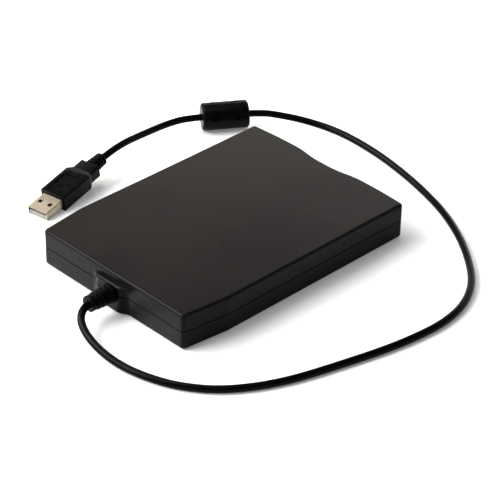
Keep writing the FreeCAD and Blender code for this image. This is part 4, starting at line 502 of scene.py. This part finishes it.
def wire_insulation():
    """Extruded PVC of the inner wires: dull red with a soft shine."""
    material, tree, place = start_finish("extruded_wire_insulation", IOR=1.54)
    clouds = add(tree, "TexNoise", {"Vector": place, "Scale": 1 / 0.8, "Detail": 3.0}).outputs["Fac"]
    drive_surface(tree, (clouds, "#7d1d16", "#98281e"), (clouds, 0.35, 0.45), (clouds, 0.01))
    return material


def pbt_insulator_painted_shade():
    """Moulded white PBT tongue of the plug, slightly glossy; its white is darkened to a mid grey as painted
    shade.
    """
    material, tree, place = start_finish("pbt_insulator_painted_shade", IOR=1.57)
    clouds = add(tree, "TexNoise", {"Vector": place, "Scale": 1 / 1.0, "Detail": 3.0}).outputs["Fac"]
    # Both tones are painted shade: the white tongue darkened to mid grey for the shade inside the shell's
    # mouth
    drive_surface(tree, (clouds, "#8b8b88", "#979794"), (clouds, 0.35, 0.45), (clouds, 0.004))
    return material


def gold_flash():
    """Gold flash over nickel: thin warm plating, rubbed along the contacts."""
    material, tree, place = start_finish("gold_flashed_contact", Metallic=1.0)
    rubbed = add(tree, "TexNoise", {"Vector": place, "Scale": 1 / 0.4, "Detail": 4.0}).outputs["Fac"]
    drive_surface(tree, (rubbed, "#b98f45", "#d9b268"), (rubbed, 0.2, 0.32), (rubbed, 0.002))
    return material


def make_finishes():
    """Finish of every material slot that the model names."""
    return {
        "case_plastic": grained_abs("grained_abs_case", "#0f0d0c", "#131110", 0.28, 0.4, 0.006),
        "bezel_plastic": grained_abs("grained_abs_bezel", "#111010", "#151413", 0.3, 0.35, 0.005),
        "button_plastic": grained_abs("satin_abs_button", "#1c1b1b", "#211f1f", 0.2, 0.3, 0.003),
        "rubber": moulded_rubber(),
        "screw_steel": black_oxide_steel(),
        "zinc_sheet": zinc_plated_sheet(),
        "spring_steel": drawn_spring_steel(),
        "turned_steel": turned_steel(),
        "clear_plastic": clear_polycarbonate(),
        "light_body": tinted_epoxy(),
        "board": solder_mask_laminate(),
        "chip": moulded_epoxy(),
        "copper_wire": enamelled_copper(),
        "bronze": sintered_bronze(),
        "ferrite": fired_ferrite(),
        "hub_magnet": bonded_magnet(),
        "carriage_plastic": glass_filled_nylon(),
        "nut_plastic": natural_acetal(),
        "head_ceramic": lapped_ceramic(),
        "switch_plastic": moulded_pbt(),
        "connector_plastic": natural_nylon(),
        "ribbon": polyester_film_cable(),
        "can_metal": tinned_can(),
        "cord_vinyl": extruded_pvc(),
        "wire_vinyl": wire_insulation(),
        "plug_vinyl": overmoulded_pvc(),
        "nickel": nickel_plated_steel(),
        "plug_insulator": pbt_insulator_painted_shade(),
        "gold": gold_flash(),
    }


def dress_nodes(finishes):
    """Gives every CAD node the finish of its slot."""
    for part in frame["record"]["subparts"]:
        mesh = nodes[part["node"]].data
        mesh.materials.clear()
        mesh.materials.append(finishes[part["material_slot"]])


# ---------------------------------------------------------------------------------------------
# Modelling helpers; a piece is drawn in millimetres along +Z, then scaled down and put in its place
# ---------------------------------------------------------------------------------------------
def open_piece(name):
    """Names the primitive just added and opens it for editing."""
    piece = bpy.context.object
    piece.name = piece.data.name = name
    bpy.ops.object.mode_set(mode="EDIT")
    bpy.ops.mesh.select_all(action="SELECT")
    return piece


def pick(piece, kind, wanted):
    """Selects only the faces or the edges that pass a test."""
    bpy.ops.mesh.select_mode(type="FACE" if kind == "faces" else "EDGE")
    bpy.ops.mesh.select_all(action="DESELECT")
    shape = bmesh.from_edit_mesh(piece.data)
    for element in getattr(shape, kind):
        if wanted(element):
            element.select_set(True)
    bmesh.update_edit_mesh(piece.data)


def middle(edge):
    """Middle of an edge."""
    return (edge.verts[0].co + edge.verts[1].co) / 2


def run(edge):
    """Vector from one end of an edge to the other."""
    return edge.verts[1].co - edge.verts[0].co


def close_piece():
    """Turns the faces outwards and leaves edit mode."""
    bpy.ops.mesh.select_all(action="SELECT")
    bpy.ops.mesh.remove_doubles(threshold=MERGE_WITHIN)
    bpy.ops.mesh.normals_make_consistent(inside=False)
    bpy.ops.object.mode_set(mode="OBJECT")


def activate(piece):
    """Makes the piece the one that operators act on."""
    bpy.ops.object.select_all(action="DESELECT")
    piece.select_set(True)
    bpy.context.view_layer.objects.active = piece


def round_off(piece, width, limit="ANGLE", segments=3, angle=30.0):
    """Rounds the sharp or the weighted edges with a Bevel modifier and applies it."""
    activate(piece)
    bevel = piece.modifiers.new("rounded_edges", "BEVEL")
    bevel.width = width
    bevel.segments = segments
    bevel.limit_method = limit
    bevel.angle_limit = math.radians(angle)
    bpy.ops.object.modifier_apply(modifier=bevel.name)


def carve(piece, cutters):
    """Cuts the cutters out of the piece and removes them."""
    for cutter in cutters:
        activate(piece)
        cut = piece.modifiers.new("cut", "BOOLEAN")
        cut.operation = "DIFFERENCE"
        cut.solver = "EXACT"
        cut.object = cutter
        bpy.ops.object.modifier_apply(modifier=cut.name)
        bpy.data.objects.remove(cutter, do_unlink=True)


def settle(piece, at, axis, up):
    """Turns +Z to the axis and +Y upwards, moves the piece to its place and bakes that into the mesh."""
    z = Vector(axis).normalized()
    x = Vector(up).cross(z).normalized()
    y = z.cross(x)
    activate(piece)
    turn = Matrix((x, y, z)).transposed().to_4x4()
    piece.matrix_world = Matrix.Translation(Vector(at) * MM) @ turn @ Matrix.Scale(MM, 4)
    bpy.ops.object.transform_apply(location=True, rotation=True, scale=True)
    bpy.ops.object.shade_smooth_by_angle(angle=math.radians(SMOOTH_BELOW))


def turned_piece(name, steps, segments=72):
    """Round piece along +Z: a disk extruded from step to step, each a distance and a radius."""
    start, radius = steps[0]
    bpy.ops.mesh.primitive_circle_add(
        vertices=segments, radius=radius, fill_type="NGON", location=(0, 0, start))
    bpy.ops.object.transform_apply(location=True)
    piece = open_piece(name)
    for distance, new_radius in steps[1:]:
        bpy.ops.mesh.extrude_region_move(TRANSFORM_OT_translate={"value": (0, 0, distance - start)})
        scale = new_radius / radius
        bpy.ops.transform.resize(value=(scale, scale, 1), center_override=(0, 0, distance))
        start, radius = distance, new_radius
    close_piece()
    return piece


def flared_pin(radius, at, out, depth):
    """Cutter for a round dimple with a flared mouth, centred on a point of the surface."""
    steps = [(-depth, PIN_TAPER * radius), (-PIN_MOUTH, radius), (PIN_MOUTH, radius + PIN_FLARE)]
    cutter = turned_piece("pin", steps, segments=32)
    activate(cutter)
    turn = Vector(out).to_track_quat("Z", "Y").to_matrix().to_4x4()
    cutter.matrix_world = Matrix.Translation(at) @ turn
    bpy.ops.object.transform_apply(location=True, rotation=True)
    return cutter


def dress(piece, slot, finish, *replaced):
    """Gives a new piece its finish, hides the nodes that it stands for and attaches it to the case."""
    piece.data.materials.clear()
    piece.data.materials.append(finish)
    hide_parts(*replaced)
    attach(piece, "case")


# ---------------------------------------------------------------------------------------------
# Soft mouldings
# ---------------------------------------------------------------------------------------------
def make_sleeve(finish):
    """Ribbed sleeve that keeps the cord from kinking where it leaves the case."""
    sleeve = turned_piece("ribbed_sleeve", SLEEVE_STEPS)
    round_off(sleeve, SLEEVE_EDGE)
    settle(sleeve, CORD_EXIT, (0, 1, 0), (0, 0, 1))
    dress(sleeve, "plug_vinyl", finish, "strain_relief")
    return sleeve


def make_core_cover(finish):
    """Moulded cover of the ferrite: a chamfered drum with two rings of dimples left by the mould's pins."""
    half = CORE_LENGTH / 2
    steps = [
        (-half, CORE_RADIUS - CORE_CHAMFER), (-half + CORE_CHAMFER, CORE_RADIUS),
        (half - CORE_CHAMFER, CORE_RADIUS), (half, CORE_RADIUS - CORE_CHAMFER),
    ]
    cover = turned_piece("ferrite_cover", steps, segments=96)
    round_off(cover, CORE_EDGE, angle=25.0)
    pins = []
    for along in (-half + DIMPLE_FROM_END, half - DIMPLE_FROM_END):
        for angle in DIMPLE_ANGLES:
            out = Vector((-math.cos(math.radians(angle)), math.sin(math.radians(angle)), 0))
            at = out * CORE_RADIUS + Vector((0, 0, along))
            pins.append(flared_pin(DIMPLE_RADIUS, at, out, DIMPLE_DEPTH))
    carve(cover, pins)
    heading = math.radians(CORE_HEADING)
    settle(cover, CORE_CENTRE, (math.cos(heading), math.sin(heading), 0), (0, 0, 1))
    dress(cover, "plug_vinyl", finish, "core_cover")
    return cover


def make_plug_grip(finish):
    """Moulded grip: a block that steps in to a waist, with a shallow panel, two dots and a ringed tail."""
    bpy.ops.mesh.primitive_plane_add(size=1.0, location=(0, 0, 0))
    grip = open_piece("plug_grip")
    bpy.ops.transform.resize(value=(GRIP_WIDTH, GRIP_HEIGHT, 1), center_override=(0, 0, 0))
    to_waist = (WAIST_WIDTH / GRIP_WIDTH, WAIST_HEIGHT / GRIP_HEIGHT, 1)
    z = 0.0
    for length, scale in ((GRIP_STRAIGHT, (1, 1, 1)), (SHOULDER, to_waist), (WAIST_LENGTH, (1, 1, 1))):
        bpy.ops.mesh.extrude_region_move(TRANSFORM_OT_translate={"value": (0, 0, length)})
        z += length
        bpy.ops.transform.resize(value=scale, center_override=(0, 0, z))
    press_panel(grip)
    weigh_edges(grip)
    close_piece()
    round_off(grip, WAIST_EDGE, limit="WEIGHT", segments=4)
    dot_z = PANEL_FROM_FRONT + PANEL_LENGTH + DOT_BEHIND_PANEL
    dots = []
    for side in (-1, 1):
        at = Vector((side * DOT_SPACING / 2, GRIP_HEIGHT / 2, dot_z))
        dots.append(flared_pin(DOT_RADIUS, at, (0, 1, 0), DOT_DEPTH))
    carve(grip, dots)
    settle(grip, Vector(PLUG_TIP) + Vector(PLUG_AXIS) * PLUG_EXPOSED, PLUG_AXIS, PLUG_UP)
    add_tail(grip)
    dress(grip, "plug_vinyl", finish, "plug_body")
    return grip


def press_panel(grip):
    """Insets the grip's upper face to the panel's outline, presses it in and rounds its corners."""
    top = GRIP_HEIGHT / 2
    margin = (GRIP_WIDTH - PANEL_WIDTH) / 2
    centre = GRIP_STRAIGHT / 2
    pick(grip, "faces", lambda f: abs(f.calc_center_median().y - top) < NEAR)
    bpy.ops.mesh.inset(thickness=margin)
    stretch = PANEL_LENGTH / (GRIP_STRAIGHT - 2 * margin)
    bpy.ops.transform.resize(value=(1, 1, stretch), center_override=(0, top, centre))
    bpy.ops.transform.translate(value=(0, 0, PANEL_FROM_FRONT + PANEL_LENGTH / 2 - centre))
    bpy.ops.mesh.extrude_region_move(TRANSFORM_OT_translate={"value": (0, -PANEL_DEPTH, 0)})
    pick(grip, "edges", lambda e: abs(middle(e).y - top + PANEL_DEPTH / 2) < NEAR and abs(run(e).y) > APART)
    bpy.ops.mesh.bevel(offset=PANEL_CORNER, segments=4, affect="EDGES")


def weigh_edges(grip):
    """Bevel weights: how round each edge becomes, as a share of the waist's."""
    waist = GRIP_STRAIGHT + SHOULDER
    end = waist + WAIST_LENGTH

    def between(edge, low, high):
        return low + NEAR < middle(edge).z < high - NEAR

    def at_corner(edge):
        return abs(middle(edge).x) > GRIP_WIDTH / 2 - NEAR and abs(middle(edge).y) > GRIP_HEIGHT / 2 - APART

    weights = [
        (0.22, lambda e: middle(e).z < NEAR),                               # rim round the metal shell
        (0.55, lambda e: between(e, 0.0, GRIP_STRAIGHT) and at_corner(e)),  # long edges of the block
        (0.75, lambda e: between(e, GRIP_STRAIGHT, waist)),                 # slanting edges of the shoulder
        (1.0, lambda e: between(e, waist, end)),                            # long edges of the waist
        (0.35, lambda e: abs(middle(e).z - GRIP_STRAIGHT) < NEAR),          # round the block's rear
        (0.3, lambda e: abs(middle(e).z - waist) < NEAR),                   # round the waist's front
        (0.4, lambda e: abs(middle(e).z - end) < NEAR),                     # round the waist's rear
    ]
    for weight, wanted in weights:
        pick(grip, "edges", wanted)
        bpy.ops.transform.edge_bevelweight(value=weight)


def add_tail(grip):
    """Joins the ringed tail to the grip's rear."""
    steps = [(TAIL_START - TAIL_IN_GRIP, TAIL_GROOVE)]
    for i, radius in enumerate(TAIL_RADII):
        front = TAIL_START + i * TAIL_PITCH
        back = front + TAIL_RING
        steps += [(front, TAIL_GROOVE), (front, radius), (back, radius), (back, TAIL_GROOVE)]
    tail = turned_piece("plug_tail", steps, segments=64)
    round_off(tail, TAIL_EDGE)
    settle(tail, PLUG_TIP, PLUG_AXIS, PLUG_UP)
    join(grip, [tail])


def join(piece, others):
    """Joins the others into the piece."""
    bpy.ops.object.select_all(action="DESELECT")
    for other in others:
        other.select_set(True)
    piece.select_set(True)
    bpy.context.view_layer.objects.active = piece
    bpy.ops.object.join()


def make_feet(finish):
    """Moulded rubber feet with a rounded rim and a slightly hollow face."""
    steps = [
        (-FOOT_HEIGHT, FOOT_RADIUS), (0.0, FOOT_RADIUS), (0.0, FOOT_RADIUS - FOOT_RIM),
        (-FOOT_HOLLOW, FOOT_RADIUS - FOOT_RIM_AND_SLOPE), (-FOOT_HOLLOW, FOOT_CENTRE),
    ]
    first = turned_piece("moulded_feet", steps, segments=48)
    round_off(first, FOOT_EDGE)
    feet = [first]
    for _ in FOOT_PLACES[1:]:
        copy = bpy.data.objects.new("foot_copy", first.data.copy())
        bpy.context.scene.collection.objects.link(copy)
        feet.append(copy)
    for foot, (x, y) in zip(feet, FOOT_PLACES):
        settle(foot, (x, y, 0), (0, 0, -1), (0, 1, 0))
    join(first, feet[1:])
    dress(first, "rubber", finish, "rubber_feet")


# ---------------------------------------------------------------------------------------------
# Cord
# ---------------------------------------------------------------------------------------------
def make_cord(finish):
    """The cord as one smooth round curve along its route."""
    data = bpy.data.curves.new("usb_cord", "CURVE")
    data.dimensions = "3D"
    data.bevel_depth = CORD_RADIUS * MM
    data.bevel_resolution = 6
    data.use_fill_caps = True
    spline = data.splines.new("NURBS")
    spline.points.add(len(CORD_ROUTE) - 1)
    for point, place in zip(spline.points, CORD_ROUTE):
        point.co = (*(Vector(place) * MM), 1.0)
    spline.order_u = 3
    spline.use_endpoint_u = True
    spline.resolution_u = 12
    cord = bpy.data.objects.new("usb_cord", data)
    bpy.context.scene.collection.objects.link(cord)
    dress(cord, "cord_vinyl", finish, "cord")
    return cord


# ---------------------------------------------------------------------------------------------
# Making
# ---------------------------------------------------------------------------------------------
bpy.ops.object.select_all(action="DESELECT")
make_camera()
finishes = make_finishes()
dress_nodes(finishes)
cord = make_cord(finishes["cord_vinyl"])
vinyl = finishes["plug_vinyl"]
make_sleeve(vinyl)
make_core_cover(vinyl)
make_plug_grip(vinyl)
make_feet(finishes["rubber"])
make_world()
make_floor()
for lamp in LAMPS:
    soft_box(*lamp)
bpy.context.scene.view_settings.view_transform = "Standard"
